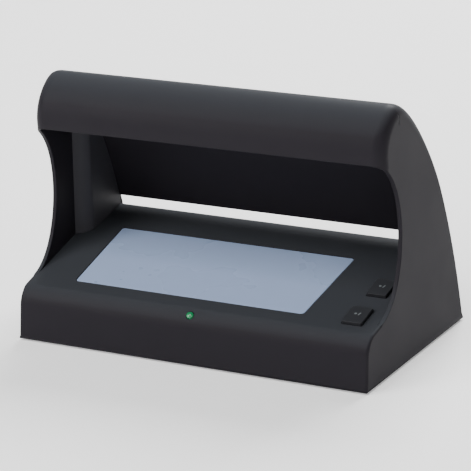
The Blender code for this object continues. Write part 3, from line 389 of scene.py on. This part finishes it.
def body_solid(name, outline, inset=0.0):
    """Solid between the flared sides; an outline point is (y, z, radius of its side edge)."""
    count = len(outline)
    along = []
    for i in range(count):
        before = Vector(outline[i - 1][:2])
        along.append((Vector(outline[(i + 1) % count][:2]) - before).normalized())
    shares = [k / SIDE_STEPS for k in range(SIDE_STEPS + 1)]
    stations = [(-1, share) for share in shares[::-1]] + [(1, share) for share in shares]
    stations = [(side, math.pi / 2 * (1 - share)) for side, share in stations]

    bm = bmesh.new()
    order = bm.verts.layers.int.new("order")
    ring = [bm.verts.new() for _ in outline]
    for i, vert in enumerate(ring):
        vert[order] = i
    edges = [bm.edges.new((ring[i], ring[(i + 1) % count])) for i in range(count)]
    for number, (side, turn) in enumerate(stations):
        if number:
            made = bmesh.ops.extrude_edge_only(bm, edges=edges)["geom"]
            ring = [item for item in made if isinstance(item, bmesh.types.BMVert)]
            fresh = set(ring)
            edges = [item for item in made if isinstance(item, bmesh.types.BMEdge)
                     and item.verts[0] in fresh and item.verts[1] in fresh]
        for vert in ring:
            y, z, radius = outline[vert[order]]
            fall = radius * (1 - math.cos(math.pi / 2 - turn))
            y += along[vert[order]].y * fall
            z -= along[vert[order]].x * fall
            reach = half_width(y, z) - inset - radius * (1 - math.sin(math.pi / 2 - turn))
            vert.co = (side * reach, y, z)
    bmesh.ops.holes_fill(bm, edges=[edge for edge in bm.edges if edge.is_boundary], sides=0)
    return new_piece(name, bm)


def slab(name, outline, low, high, axis="X", place=DESIGN, corner=0.0, soft=0.0):
    """Solid of a flat outline between two heights along an axis, its upright corners rounded."""
    bm = bmesh.new()
    if axis == "X":
        verts = [bm.verts.new((low, a, b)) for a, b in outline]
        way = Vector((high - low, 0, 0))
    else:
        verts = [bm.verts.new((a, b, low)) for a, b in outline]
        way = Vector((0, 0, high - low))
    face = bm.faces.new(verts)
    made = bmesh.ops.extrude_face_region(bm, geom=[face])["geom"]
    bmesh.ops.translate(bm, verts=[v for v in made if isinstance(v, bmesh.types.BMVert)], vec=way)
    if corner:
        upright = [e for e in bm.edges
                   if abs((e.verts[0].co - e.verts[1].co).normalized().dot(way.normalized())) > 0.99]
        bmesh.ops.bevel(bm, geom=upright, offset=corner, segments=8, profile=0.5, affect="EDGES", material=-1)
    if soft:
        bmesh.ops.recalc_face_normals(bm, faces=bm.faces)
        rim = [e for e in bm.edges if e.calc_face_angle(0) > math.radians(50)]
        bmesh.ops.bevel(bm, geom=rim, offset=soft, segments=3, profile=0.5, affect="EDGES", material=-1)
    return new_piece(name, bm, place)


def block(name, low, high, place=DESIGN, corner=0.0, soft=0.0):
    """Box between two corners."""
    outline = [(low[0], low[1]), (high[0], low[1]), (high[0], high[1]), (low[0], high[1])]
    return slab(name, outline, low[2], high[2], "Z", place, corner, soft)


def turned(name, profile, place=DESIGN, steps=48):
    """Turned solid about z of an (r, z) profile that starts and ends on the axis."""
    bm = bmesh.new()
    verts = [bm.verts.new((r, 0, z)) for r, z in profile]
    edges = [bm.edges.new(pair) for pair in zip(verts, verts[1:])]
    bmesh.ops.spin(bm, geom=verts + edges, cent=(0, 0, 0), axis=(0, 0, 1), dvec=(0, 0, 0),
                   angle=2 * math.pi, steps=steps, use_merge=True)
    return new_piece(name, bm, place)


def rod(name, radius, low, high, place=DESIGN, steps=32):
    return turned(name, [(0, high), (radius, high), (radius, low), (0, low)], place, steps)


def soften(piece):
    """Round the sharp edges as moulding leaves them and shade the piece smooth."""
    bm = bmesh.new()
    bm.from_mesh(piece.data)
    bmesh.ops.remove_doubles(bm, verts=bm.verts, dist=2e-5)
    bmesh.ops.dissolve_degenerate(bm, edges=bm.edges, dist=1e-5)
    bmesh.ops.dissolve_limit(bm, angle_limit=math.radians(0.4), verts=bm.verts, edges=bm.edges)
    bm.to_mesh(piece.data)
    bm.free()
    bevel = piece.modifiers.new("soft edges", "BEVEL")
    bevel.width = SOFT_EDGE
    bevel.segments = 3
    bevel.limit_method = "ANGLE"
    bevel.angle_limit = math.radians(32)
    bevel.use_clamp_overlap = False
    bevel.miter_outer = "MITER_ARC"
    settle(piece)
    smooth(piece, 40)


def smooth(piece, degrees=35):
    piece.data.shade_smooth()
    piece.data.set_sharp_from_angle(angle=math.radians(degrees))
    weighted = piece.modifiers.new("weighted normals", "WEIGHTED_NORMAL")
    weighted.keep_sharp = True


def stand(piece, material, slot, body, *nodes):
    """Finish a piece: its material, its body and the nodes it stands for; the record slot is not used."""
    piece.data.materials.clear()
    piece.data.materials.append(material)
    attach(piece, body)
    if nodes:
        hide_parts(*nodes)


# ---- Materials ---------------------------------------------------------------------------------
# A real spark or cast grain is under a tenth of a millimetre, too fine to show, so the grains below
# are drawn several times coarser.
TOP_LIGHT_BEGINS = 0.45            # upward part of a face's normal where the painted lighter top starts, and where it is full
TOP_LIGHT_FULL = 0.95


def linear(code):
    """sRGB hex to linear RGBA."""
    channels = [int(code[i:i + 2], 16) / 255 for i in (1, 3, 5)]
    return (*[c / 12.92 if c <= 0.04045 else ((c + 0.055) / 1.055) ** 2.4 for c in channels], 1.0)


def add(tree, kind, inputs=None, **settings):
    """Add a shader node with its settings; each input gets a value or a link."""
    made = tree.nodes.new("ShaderNode" + kind)
    for name, value in settings.items():
        setattr(made, name, value)
    for name, value in (inputs or {}).items():
        if isinstance(value, bpy.types.NodeSocket):
            tree.links.new(value, made.inputs[name])
        else:
            made.inputs[name].default_value = value
    return made


def per_mm(size_mm):
    """Texture scale whose features are a given size in millimetres."""
    return 1000.0 / size_mm


def finish(name, shade, deep, rough, grain_mm, bump_mm, metallic=0.0, stretch=(1, 1, 1), cloud_mm=35.0,
           painted_top_light=None, **sockets):
    """A surface with two close shades in soft clouds, a fine grain and an uneven gloss.

    The colour given for the faces that look up paints them lighter: painted light on the tops."""
    material = bpy.data.materials.new(name)
    material.use_nodes = True
    tree = material.node_tree
    shader = tree.nodes["Principled BSDF"]
    place = add(tree, "TexCoord").outputs["Object"]
    grain_place = add(tree, "Mapping", {"Vector": place, "Scale": stretch}).outputs["Vector"]
    cloud = add(tree, "TexNoise", {"Vector": place, "Scale": per_mm(cloud_mm), "Detail": 3.0}).outputs["Fac"]
    grain = add(tree, "TexNoise", {"Vector": grain_place, "Scale": per_mm(grain_mm), "Detail": 4.0,
                                   "Roughness": 0.6}).outputs["Fac"]
    blend = add(tree, "Math", {0: cloud, 1: grain}, operation="MULTIPLY").outputs[0]
    color = add(tree, "Mix", {"Factor": blend, "A": linear(deep), "B": linear(shade)}, data_type="RGBA")
    color = color.outputs[2]
    # Painted light: faces that look up are mixed towards a lighter colour by how far their normal points up.
    if painted_top_light:
        normal = add(tree, "NewGeometry").outputs["Normal"]
        up = add(tree, "SeparateXYZ", {"Vector": normal}).outputs["Z"]
        top_light_share = add(tree, "MapRange", {"Value": up, "From Min": TOP_LIGHT_BEGINS, "From Max": TOP_LIGHT_FULL,
                                         "To Min": 0.0, "To Max": 1.0}).outputs["Result"]
        top_light_mix = {"Factor": top_light_share, "A": color, "B": linear(painted_top_light)}
        color = add(tree, "Mix", top_light_mix, data_type="RGBA").outputs[2]
    tree.links.new(color, shader.inputs["Base Color"])
    gloss = add(tree, "MapRange", {"Value": cloud, "From Min": 0.3, "From Max": 0.7, "To Min": rough[0],
                                   "To Max": rough[1]}).outputs["Result"]
    tree.links.new(gloss, shader.inputs["Roughness"])
    relief = add(tree, "Bump", {"Height": grain, "Strength": 1.0, "Distance": bump_mm / 1000})
    tree.links.new(relief.outputs["Normal"], shader.inputs["Normal"])
    shader.inputs["Metallic"].default_value = metallic
    for socket, value in sockets.items():
        shader.inputs[socket.replace("_", " ")].default_value = value
    return material


# Spark-textured injection moulding: an even satin black whose grain softens every reflection; the faces
# that look up are painted a lighter grey, as painted light.  The specular level is far under a usual
# plastic's, to keep the sides dark over a pale floor.
HOUSING_ABS = finish("spark_textured_black_abs", "#252327", "#1f1d21", (0.44, 0.50), 0.45, 0.004,
                     painted_top_light="#36383c", IOR=1.53, Specular_IOR_Level=0.045)
# The lead covers: the housing's black plastic painted a touch greyer, as painted light in the hood's shade.
LIGHTENED_COVER_ABS = finish("painted_lighter_cover_abs", "#3b3a3e", "#343337", (0.46, 0.54), 0.45, 0.004, IOR=1.53,
                   Specular_IOR_Level=0.09)
# The same plastic on inner faces, where no finger reaches: matter, with a coarser grain.
INNER_ABS = finish("matt_inner_abs", "#252327", "#1e1d20", (0.52, 0.62), 0.6, 0.008, IOR=1.53,
                   Specular_IOR_Level=0.09)
# Fine satin moulding, polished slightly by fingers; its faces that look up are painted lighter, as painted
# light.
BUTTON_ABS = finish("satin_button_abs", "#28282b", "#222225", (0.40, 0.48), 0.3, 0.004, painted_top_light="#2f3033",
                    IOR=1.53, Specular_IOR_Level=0.10)
# Pad-printed marks: a flat grey ink.
MARK_INK = finish("grey_pad_ink", "#7c8284", "#6a7072", (0.45, 0.55), 0.25, 0.002)
# Cast opal acrylic with a satin top: an even, cool grey-blue with a soft sheen.
OPAL = finish("opal_cast_acrylic", "#9aabcb", "#97a9c9", (0.27, 0.28), 0.5, 0.0006, cloud_mm=60.0, IOR=1.49)
# Tinted epoxy dome: deep green with a bright polished skin.
LED_EPOXY = finish("green_tinted_epoxy", "#2f9a63", "#1d7348", (0.10, 0.16), 1.5, 0.001, cloud_mm=2.0,
                   IOR=1.55, Transmission_Weight=0.25, Emission_Color=linear("#2fae6c"),
                   Emission_Strength=0.12)
# Violet filter glass over the phosphor: almost black, very glossy.
LAMP_GLASS = finish("violet_filter_glass", "#3a3357", "#262040", (0.05, 0.09), 3.0, 0.001, IOR=1.52,
                    Coat_Weight=0.5)
# Pressed aluminium cap: fine drawing marks along its length.
CAP_ALUMINIUM = finish("pressed_aluminium", "#d3d3d2", "#bcbcbc", (0.26, 0.38), 0.3, 0.003, 1.0,
                       (1, 8, 8))
# Bright rolled sheet: long fine lines along the rolling direction.
ROLLED_SHEET = finish("bright_rolled_aluminium", "#e2e2e2", "#cfd0d0", (0.10, 0.18), 0.4, 0.002, 1.0,
                      (0.05, 1, 1))
# Glass-filled PBT: warm white, faintly speckled.
HOLDER_PBT = finish("white_glass_filled_pbt", "#dedcd5", "#cfccc4", (0.40, 0.50), 0.5, 0.006)
# White moulding inside the light box.
WHITE_ABS = finish("white_moulded_abs", "#dcdddc", "#cfd0cf", (0.45, 0.55), 0.8, 0.005)
# Bright zinc plate: a cool metal with small cloudy patches.
ZINC = finish("bright_zinc_plate", "#c6c9cc", "#adb1b6", (0.24, 0.38), 0.7, 0.003, 1.0, cloud_mm=3.0)
# Moulded rubber with a dry, dusty skin.
RUBBER = finish("moulded_black_rubber", "#1c1c1c", "#131313", (0.78, 0.90), 0.5, 0.015,
                Specular_IOR_Level=0.3)
# Solder resist over woven laminate: the weave shows as short faint streaks.
LAMINATE = finish("resist_on_glass_laminate", "#1f6b40", "#164f2f", (0.30, 0.42), 0.9, 0.006,
                  stretch=(1, 3, 1))
# Black glass-filled nylon: grey flecks of fibre.
NYLON = finish("glass_filled_nylon", "#2b2b2c", "#1b1b1c", (0.42, 0.56), 0.4, 0.008)
# Moulded acetal: milky white and slightly waxy.
ACETAL = finish("moulded_acetal", "#e0e0da", "#d2d2cb", (0.30, 0.38), 0.6, 0.003)
# Extruded insulation: pale grey with a soft, slightly uneven gloss.
LEAD_PVC = finish("extruded_pvc", "#cfcfcd", "#bdbdbb", (0.36, 0.48), 0.8, 0.006)
# Sintered ferrite: a dark, dry ceramic with a rough grain.
FERRITE = finish("sintered_ferrite", "#3a3a3c", "#2a2a2c", (0.62, 0.78), 0.4, 0.02)
# Heat-shrunk sleeve: a tight blue skin with an uneven gloss.
SLEEVE = finish("heat_shrunk_sleeve", "#22365f", "#182848", (0.22, 0.34), 0.9, 0.004, stretch=(1, 1, 0.2))
# Clear glass tube: see-through, with a hard bright gloss.
FUSE_GLASS = finish("clear_fuse_glass", "#dfe4e4", "#cbd2d2", (0.04, 0.08), 2.0, 0.001,
                    Transmission_Weight=0.8)

CARRIED = {
    "lamp_tray": INNER_ABS, "hood_reflector": ROLLED_SHEET, "bottom_plate": INNER_ABS,
    "light_box": WHITE_ABS, "backlight_board": WHITE_ABS, "switch_board": LAMINATE, "led_board": LAMINATE,
    "ballast_board": LAMINATE, "lamp_choke_1": FERRITE, "lamp_choke_2": FERRITE, "bulk_capacitor": SLEEVE,
    "mains_fuse": FUSE_GLASS, "front_switch": NYLON, "rear_switch": NYLON, "front_switch_plunger": ACETAL,
    "rear_switch_plunger": ACETAL, "lamp_lead_left": LEAD_PVC, "lamp_lead_right": LEAD_PVC,
    "inlet_lead": LEAD_PVC,
}


# ---- Housing -----------------------------------------------------------------------------------
def make_housing():
    shell = body_solid("housing", body_outline())
    throat = leg_curve() + [(-MOUTH, HOOD_EDGE_Z), (-MOUTH, deck_z(LEG_FOOT_Y) + MOUTH)]
    combine(shell, slab("throat", throat, -FAR, FAR))
    combine(shell, body_solid("bay", bay_outline(0.0), WALL))
    combine(shell, body_solid("cavity", base_cavity_outline(), WALL))
    combine(shell, slab("slot", slot_outline(), -slot_half(), slot_half()))
    combine(shell, slab("window", window_corners(), CUT_LOW, CUT_HIGH, "Z", DECK, WINDOW_ROUND))
    for index in (0, 1):
        x, t = button_centre(index)
        half_x = BUTTON_WIDTH / 2 + GAP
        half_t = BUTTON_LENGTH / 2 + GAP
        combine(shell, block("button_hole", (x - half_x, t - half_t, CUT_LOW),
                             (x + half_x, t + half_t, CUT_HIGH), DECK, BUTTON_ROUND))
    combine(shell, rod("led_hole", LED_RADIUS + GAP, CUT_LOW, LED_CUT_HIGH, led_frame()))
    half_x = INLET_WIDTH / 2 + GAP
    half_z = INLET_HEIGHT / 2 + GAP
    combine(shell, block("inlet_hole", (-half_x, -INLET_CUT, -half_z), (half_x, INLET_CUT, half_z),
                         inlet_frame()))
    soften(shell)
    tuck_in(shell)
    add_bosses(shell)
    smooth(shell, 40)
    stand(shell, HOUSING_ABS, "black_abs", "body", "housing_shell")


def tuck_in(shell):
    """Bring corners that rounding pushed out past the flared sides back onto them."""
    for vert in shell.data.vertices:
        reach = half_width(vert.co.y + BODY_DEPTH / 2, vert.co.z - FOOT_STAND)
        if abs(vert.co.x) > reach:
            vert.co.x = math.copysign(reach, vert.co.x)


def add_bosses(shell):
    """The bored bosses under the deck that take the base screws."""
    for number in range(1, 5):
        low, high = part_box(f"base_screw_{number}")
        x = (low.x + high.x) / 2
        y = (low.y + high.y) / 2 + BODY_DEPTH / 2
        place = DESIGN @ Matrix.Translation((x, y, 0))
        roof = deck_z(y) - WALL + BITE
        combine(shell, rod("boss", BOSS_RADIUS, PLATE_TOP + GAP, roof, place, 24), "UNION")
        combine(shell, rod("bore", BOSS_BORE, -0.01, SCREW_DEPTH, place, 24))


def make_ducts():
    """Covers over the lamp leads, stepping in from each leg and ending beside the slot."""
    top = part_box("left_wire_duct")[1].z - FOOT_STAND
    front = duct_front_y()
    back_of_step = front + DUCT_STEP_RUN
    leg = half_width(front, deck_z(front)) - WALL
    end = slot_half() + 0.0004
    turn_in = (leg - DUCT_STEP * 0.35, front + 0.001)
    turn_back = (leg - DUCT_STEP * 0.75, back_of_step - 0.004)
    step = arc((leg + 0.004, front), turn_in, turn_back, (leg - DUCT_STEP, back_of_step + 0.001), 18)
    face = step + [(end, DECK_BACK_Y), (end - 0.004, DECK_BACK_Y + 0.03)]
    for side, name in ((-1, "left"), (1, "right")):
        outline = [(side * x, y) for x, y in face + shifted_in(face, -DUCT_WALL)[::-1]]
        cover = slab(f"{name}_duct_cover", outline, 0.0, top, "Z")
        combine(cover, body_solid("fit", bay_outline(GAP), WALL + GAP), "INTERSECT")
        smooth(cover, 30)
        # The covers take a greyer copy of the black plastic: painted light where the hood shades them.
        stand(cover, LIGHTENED_COVER_ABS, "black_abs", "body", f"{name}_wire_duct")


# ---- Deck pieces -------------------------------------------------------------------------------
def make_window():
    under = -WALL - GAP
    panel = slab("opal_window", window_corners(-GAP), under - BITE, -GAP, "Z", DECK, WINDOW_ROUND - GAP,
                 soft=0.0003)
    flange = slab("flange", window_corners(FLANGE), under - FLANGE_THICK, under, "Z", DECK, WINDOW_ROUND)
    combine(panel, flange, "UNION")
    smooth(panel)
    stand(panel, OPAL, "opal_acrylic", "body", "diffuser_window")


def make_button(index, which):
    """Low flat cap with softened edges, its rim under the deck, its stem and its printed marks."""
    place = button_frame(index)
    half_x, half_t = BUTTON_WIDTH / 2, BUTTON_LENGTH / 2
    cap = block(f"{which}_button_cap", (-half_x, -half_t, -BUTTON_DEEP), (half_x, half_t, BUTTON_PROUD),
                place, BUTTON_ROUND, soft=0.0004)
    rim = block("rim", (-half_x - RIM_OVERHANG, -half_t - RIM_OVERHANG, -BUTTON_DEEP + RIM_RAISE),
                (half_x + RIM_OVERHANG, half_t + RIM_OVERHANG, -WALL - GAP), place, BUTTON_ROUND)
    combine(cap, rim, "UNION")
    combine(cap, rod("stem", STEM_RADIUS, -BUTTON_DEEP - STEM_LENGTH, -BUTTON_DEEP + BITE, place), "UNION")
    smooth(cap)
    stand(cap, BUTTON_ABS, "button_abs", f"{which}_button", f"{which}_button")
    dot = rod(f"{which}_button_dot", DOT_RADIUS, INK_LOW, INK_HIGH,
              place @ Matrix.Translation(DOT_PLACE), 24)
    bar = block(f"{which}_button_bar", (-BAR_HALF_WIDTH, -BAR_HALF_LENGTH, INK_LOW),
                (BAR_HALF_WIDTH, BAR_HALF_LENGTH, INK_HIGH),
                place @ Matrix.Translation(BAR_PLACE) @ Matrix.Rotation(BAR_TURN, 4, "Z"), 0.0003)
    for mark in (dot, bar):
        smooth(mark)
        stand(mark, MARK_INK, "button_abs", f"{which}_button")


def make_button_spring(index, which):
    """Coil with closed ends round the stem, between the cap and the switch."""
    place = button_frame(index)
    low = SWITCH_TOP + GAP + SPRING_WIRE / 2
    high = -BUTTON_DEEP - GAP - SPRING_WIRE / 2
    radius = STEM_RADIUS + GAP * 2 + SPRING_WIRE / 2
    per_turn = 28
    count = (SPRING_TURNS + 2) * per_turn
    curve = bpy.data.curves.new("coil", "CURVE")
    curve.dimensions = "3D"
    curve.bevel_depth = SPRING_WIRE / 2
    curve.bevel_resolution = 3
    curve.use_fill_caps = True
    spline = curve.splines.new("POLY")
    spline.points.add(count)
    for i, point in enumerate(spline.points):
        turns = i / per_turn
        share = min(max((turns - 1) / SPRING_TURNS, 0.0), 1.0)
        closed = (min(turns, 1.0) + max(turns - SPRING_TURNS - 1, 0.0)) * SPRING_WIRE
        height = low + closed + (high - low - 2 * SPRING_WIRE) * share
        a = 2 * math.pi * turns
        point.co = (radius * math.cos(a), radius * math.sin(a), height, 1.0)
    coil = bpy.data.objects.new("coil", curve)
    bpy.context.scene.collection.objects.link(coil)
    bm = bmesh.new()
    bm.from_mesh(bpy.data.meshes.new_from_object(coil.evaluated_get(bpy.context.evaluated_depsgraph_get())))
    bpy.data.objects.remove(coil)
    spring = new_piece(f"{which}_return_spring", bm, place)
    smooth(spring)
    stand(spring, ZINC, "zinc_steel", "body", f"{which}_button_spring")
    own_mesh(spring)


def make_indicator():
    """Domed lens with a collar inside the lip."""
    dome = [(LED_RADIUS * math.cos(a), LED_SHOULDER + LED_RADIUS * LED_DOME * math.sin(a))
            for a in (math.pi / 2 * k / 12 for k in range(12, -1, -1))]
    wide = LED_RADIUS + LED_COLLAR
    top = -WALL - LED_COLLAR_DROP
    collar = [(LED_RADIUS, top), (wide, top), (wide, LED_FOOT), (0, LED_FOOT)]
    lens = turned("indicator_lens", dome + collar, led_frame())
    smooth(lens)
    stand(lens, LED_EPOXY, "green_led_epoxy", "body", "status_led")


# ---- Lamps -------------------------------------------------------------------------------------
def lying(node, side=1):
    """Frame whose z runs along side * x, centred on a node's box."""
    low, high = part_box(node)
    return Matrix.Translation((low + high) / 2) @ Matrix.Rotation(side * math.pi / 2, 4, "Y")


def make_lamps():
    for which in ("front", "rear"):
        low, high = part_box(f"uv_tube_{which}")
        half, radius = (high.x - low.x) / 2, (high.z - low.z) / 2
        crown = [(radius * math.sin(a), half - TUBE_CROWN + TUBE_CROWN * math.cos(a))
                 for a in (math.pi / 2 * k / 8 for k in range(9))]
        profile = crown + [(r, -z) for r, z in crown[::-1]]
        glass = turned(f"lamp_glass_{which}", profile, lying(f"uv_tube_{which}"))
        smooth(glass)
        stand(glass, LAMP_GLASS, "uv_lamp_glass", "body", f"uv_tube_{which}")


def make_lamp_ends():
    """Pressed caps, each with a rolled groove and two pins, and the holders that the pins enter."""
    for end in ("front_left", "front_right", "rear_left", "rear_right"):
        side = 1 if end.endswith("right") else -1
        low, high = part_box(f"lamp_cap_{end}")
        radius = (high.z - low.z) / 2
        inner = low.x if side > 0 else high.x
        place = Matrix.Translation((inner, (low.y + high.y) / 2, (low.z + high.z) / 2))
        place = place @ Matrix.Rotation(side * math.pi / 2, 4, "Y")
        face = CAP_LENGTH
        front = [(0, face), (0.0044, face), (0.0048, face - 0.0004), (radius - 0.0014, face - 0.0004),
                 (radius - 0.0005, face - 0.0007), (radius, face - 0.0015)]
        groove = [(radius, 0.0022), (radius - CAP_GROOVE, 0.0018), (radius - CAP_GROOVE, 0.0012),
                  (radius, 0.0008)]
        cap = turned(f"pressed_cap_{end}", front + groove + [(radius, 0), (0, 0)], place)
        holder_low, holder_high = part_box(f"lamp_holder_{end}")
        outline = [(holder_low.y, holder_low.z), (holder_high.y, holder_low.z),
                   (holder_high.y, holder_high.z), (holder_low.y, holder_high.z)]
        holder = slab(f"lamp_socket_{end}", outline, holder_low.x, holder_high.x, "X", Matrix.Identity(4),
                      HOLDER_CORNER, HOLDER_SOFT)
        for spread in (-PIN_SPREAD, PIN_SPREAD):
            at = place @ Matrix.Translation((spread, 0, 0))
            tip = face + PIN_LENGTH
            pin = [(0, tip), (PIN_RADIUS - PIN_ROUND, tip), (PIN_RADIUS, tip - PIN_ROUND),
                   (PIN_RADIUS, face - BITE), (0, face - BITE)]
            combine(cap, turned("pin", pin, at, 24), "UNION")
            combine(holder, rod("pin_hole", PIN_RADIUS + GAP, face, tip + GAP * 3, at, 24))
        smooth(cap)
        smooth(holder)
        stand(cap, CAP_ALUMINIUM, "aluminium", "body", f"lamp_cap_{end}")
        stand(holder, HOLDER_PBT, "white_pbt", "body", f"lamp_holder_{end}")


# ---- Inlet -------------------------------------------------------------------------------------
def make_inlet():
    """Two-pin appliance inlet: a flanged cup with a round-ended socket."""
    outward = inlet_frame() @ Matrix.Rotation(-math.pi / 2, 4, "X")
    half_x, half_y = INLET_WIDTH / 2, INLET_HEIGHT / 2
    cup = block("power_inlet_cup", (-half_x, -half_y, -INLET_DEEP), (half_x, half_y, INLET_PROUD),
                outward, 0.0012)
    flange = block("flange", (-half_x - INLET_LIP, -half_y - INLET_LIP, INLET_LIP_LOW),
                   (half_x + INLET_LIP, half_y + INLET_LIP, INLET_LIP_HIGH), outward, 0.0024, 0.0005)
    combine(cup, flange, "UNION")
    socket_x, socket_y = half_x - SOCKET_SIDE, half_y - SOCKET_ABOVE
    combine(cup, block("socket", (-socket_x, -socket_y, -SOCKET_DEPTH), (socket_x, socket_y, 0.01), outward,
                       socket_y - 0.0002))
    smooth(cup)
    stand(cup, NYLON, "switch_nylon", "body", "power_inlet")
    tip = [(0, INLET_PIN_TIP), (0.0005, INLET_PIN_TIP), (0.0010, -0.0018), (INLET_PIN_RADIUS, -0.0024)]
    root = [(INLET_PIN_RADIUS, INLET_PIN_ROOT), (0, INLET_PIN_ROOT)]
    for side, name in ((-1, "left"), (1, "right")):
        place = outward @ Matrix.Translation((side * INLET_PIN_HALF_PITCH, 0, 0))
        pin = turned(f"inlet_pin_{name}", tip + root, place, 24)
        smooth(pin)
        stand(pin, ZINC, "zinc_steel", "body")


# ---- Feet and screws ---------------------------------------------------------------------------
def make_feet():
    """Round pads with a ring-shaped groove underneath."""
    for corner in ("front_left", "front_right", "rear_left", "rear_right"):
        low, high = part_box(f"foot_{corner}")
        place = Matrix.Translation(((low.x + high.x) / 2, (low.y + high.y) / 2, 0))
        r = (high.x - low.x) / 2
        side = [(0, high.z), (r, high.z), (r, 0.0005), (r - 0.0002, 0.00015), (r - 0.0005, 0)]
        groove = [(r * 0.62, 0), (r * 0.58, 0.0004), (r * 0.40, 0.0004), (r * 0.36, 0)]
        pad = turned(f"rubber_pad_{corner}", side + groove + [(0, 0)], place)
        smooth(pad)
        stand(pad, RUBBER, "black_rubber", "body", f"foot_{corner}")


def make_screws():
    """Pan-head screws with a cross recess, driven in from below."""
    for number in range(1, 5):
        low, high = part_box(f"base_screw_{number}")
        place = Matrix.Translation(((low.x + high.x) / 2, (low.y + high.y) / 2, low.z))
        length = high.z - low.z
        shank = [(0, length), (0.0007, length), (SCREW_RADIUS, length - 0.002),
                 (SCREW_RADIUS, SCREW_HEAD_DEPTH)]
        head = [(SCREW_HEAD_RADIUS, SCREW_HEAD_DEPTH), (SCREW_HEAD_RADIUS, 0.0006), (0.0025, 0.0002),
                (0.0020, 0), (0, 0)]
        screw = turned(f"pan_screw_{number}", shank + head, place)
        for turn in (0, math.pi / 2):
            arm = block("recess", (-0.0015, -0.0003, -0.001), (0.0015, 0.0003, 0.0008),
                        place @ Matrix.Rotation(turn, 4, "Z"))
            combine(screw, arm)
        smooth(screw)
        stand(screw, ZINC, "zinc_steel", "body", f"base_screw_{number}")


# ---- Stage -------------------------------------------------------------------------------------
CAMERA_PLACE = Vector((0.6980, -1.3612, 0.5953))
CAMERA_TURN = math.radians(27.11)      # round the object from its front towards its right
CAMERA_RISE = math.radians(18.97)
CAMERA_ROLL = math.radians(-1.88)
CAMERA_LENS = 178.2                    # millimetres on a 36 mm sensor
SWEEP_REACH = 2.6                      # the paper lies flat this far out, then curves up all round
SWEEP_RISE = 1.0
AIM_HEIGHT = 0.08                      # of the point that the lights face
PAPER_GLOW = 0.32
WORLD_STRENGTH = 0.08


def aim_camera():
    data = bpy.data.cameras.new("camera")
    data.lens = CAMERA_LENS
    data.sensor_width = 36.0
    camera = bpy.data.objects.new("camera", data)
    turn = Matrix.Rotation(CAMERA_TURN, 4, "Z") @ Matrix.Rotation(math.pi / 2 - CAMERA_RISE, 4, "X")
    camera.matrix_world = Matrix.Translation(CAMERA_PLACE) @ turn @ Matrix.Rotation(CAMERA_ROLL, 4, "Z")
    bpy.context.scene.collection.objects.link(camera)
    bpy.context.scene.camera = camera


def softbox(name, turn, rise, distance, size, power):
    """Square area light aimed at the middle of the object; turn is from the front to the right."""
    data = bpy.data.lights.new(name, "AREA")
    data.size = size
    data.energy = power
    light = bpy.data.objects.new(name, data)
    middle = Vector((0, 0, AIM_HEIGHT))
    a, e = math.radians(turn), math.radians(rise)
    way = Vector((math.sin(a) * math.cos(e), -math.cos(a) * math.cos(e), math.sin(e)))
    light.location = middle + way * distance
    light.rotation_euler = way.to_track_quat("Z", "Y").to_euler()
    bpy.context.scene.collection.objects.link(light)


def dress_stage():
    """White paper that curves up all round, a dim world and four softboxes."""
    profile = [(0.0, 0.0), (SWEEP_REACH, 0.0)]
    profile += [(SWEEP_REACH + SWEEP_RISE * math.sin(a), SWEEP_RISE * (1 - math.cos(a)))
                for a in (math.pi / 2 * k / 16 for k in range(1, 17))]
    floor = turned("floor", profile, Matrix.Identity(4), 96)
    if floor.data.polygons[0].normal.z < 0:
        floor.data.flip_normals()
    smooth(floor, 60)
    # Uncoated white paper: dead matt, with a faint glow of its own to keep the ground light.
    paper = finish("white_paper_sweep", "#fbfbfb", "#f7f7f7", (0.9, 0.95), 1.0, 0.001,
                   Specular_IOR_Level=0.0, Emission_Color=linear("#ffffff"), Emission_Strength=PAPER_GLOW)
    floor.data.materials.append(paper)
    world = bpy.data.worlds.new("studio")
    world.use_nodes = True
    background = world.node_tree.nodes["Background"]
    background.inputs["Color"].default_value = linear("#f2f4f8")
    background.inputs["Strength"].default_value = WORLD_STRENGTH
    bpy.context.scene.world = world
    softbox("right_softbox", 52, 30, 2.4, 0.9, 5)
    softbox("front_softbox", 0, 60, 2.6, 1.4, 42)
    softbox("left_softbox", -40, 30, 2.6, 1.2, 54)
    softbox("back_softbox", 180, 45, 2.6, 1.4, 115)


aim_camera()
make_housing()
make_ducts()
make_window()
for index, which in enumerate(("front", "rear")):
    make_button(index, which)
    make_button_spring(index, which)
make_indicator()
make_lamps()
make_lamp_ends()
make_inlet()
make_feet()
make_screws()
for node, material in CARRIED.items():
    NODES[node].data.materials.clear()
    NODES[node].data.materials.append(material)
dress_stage()
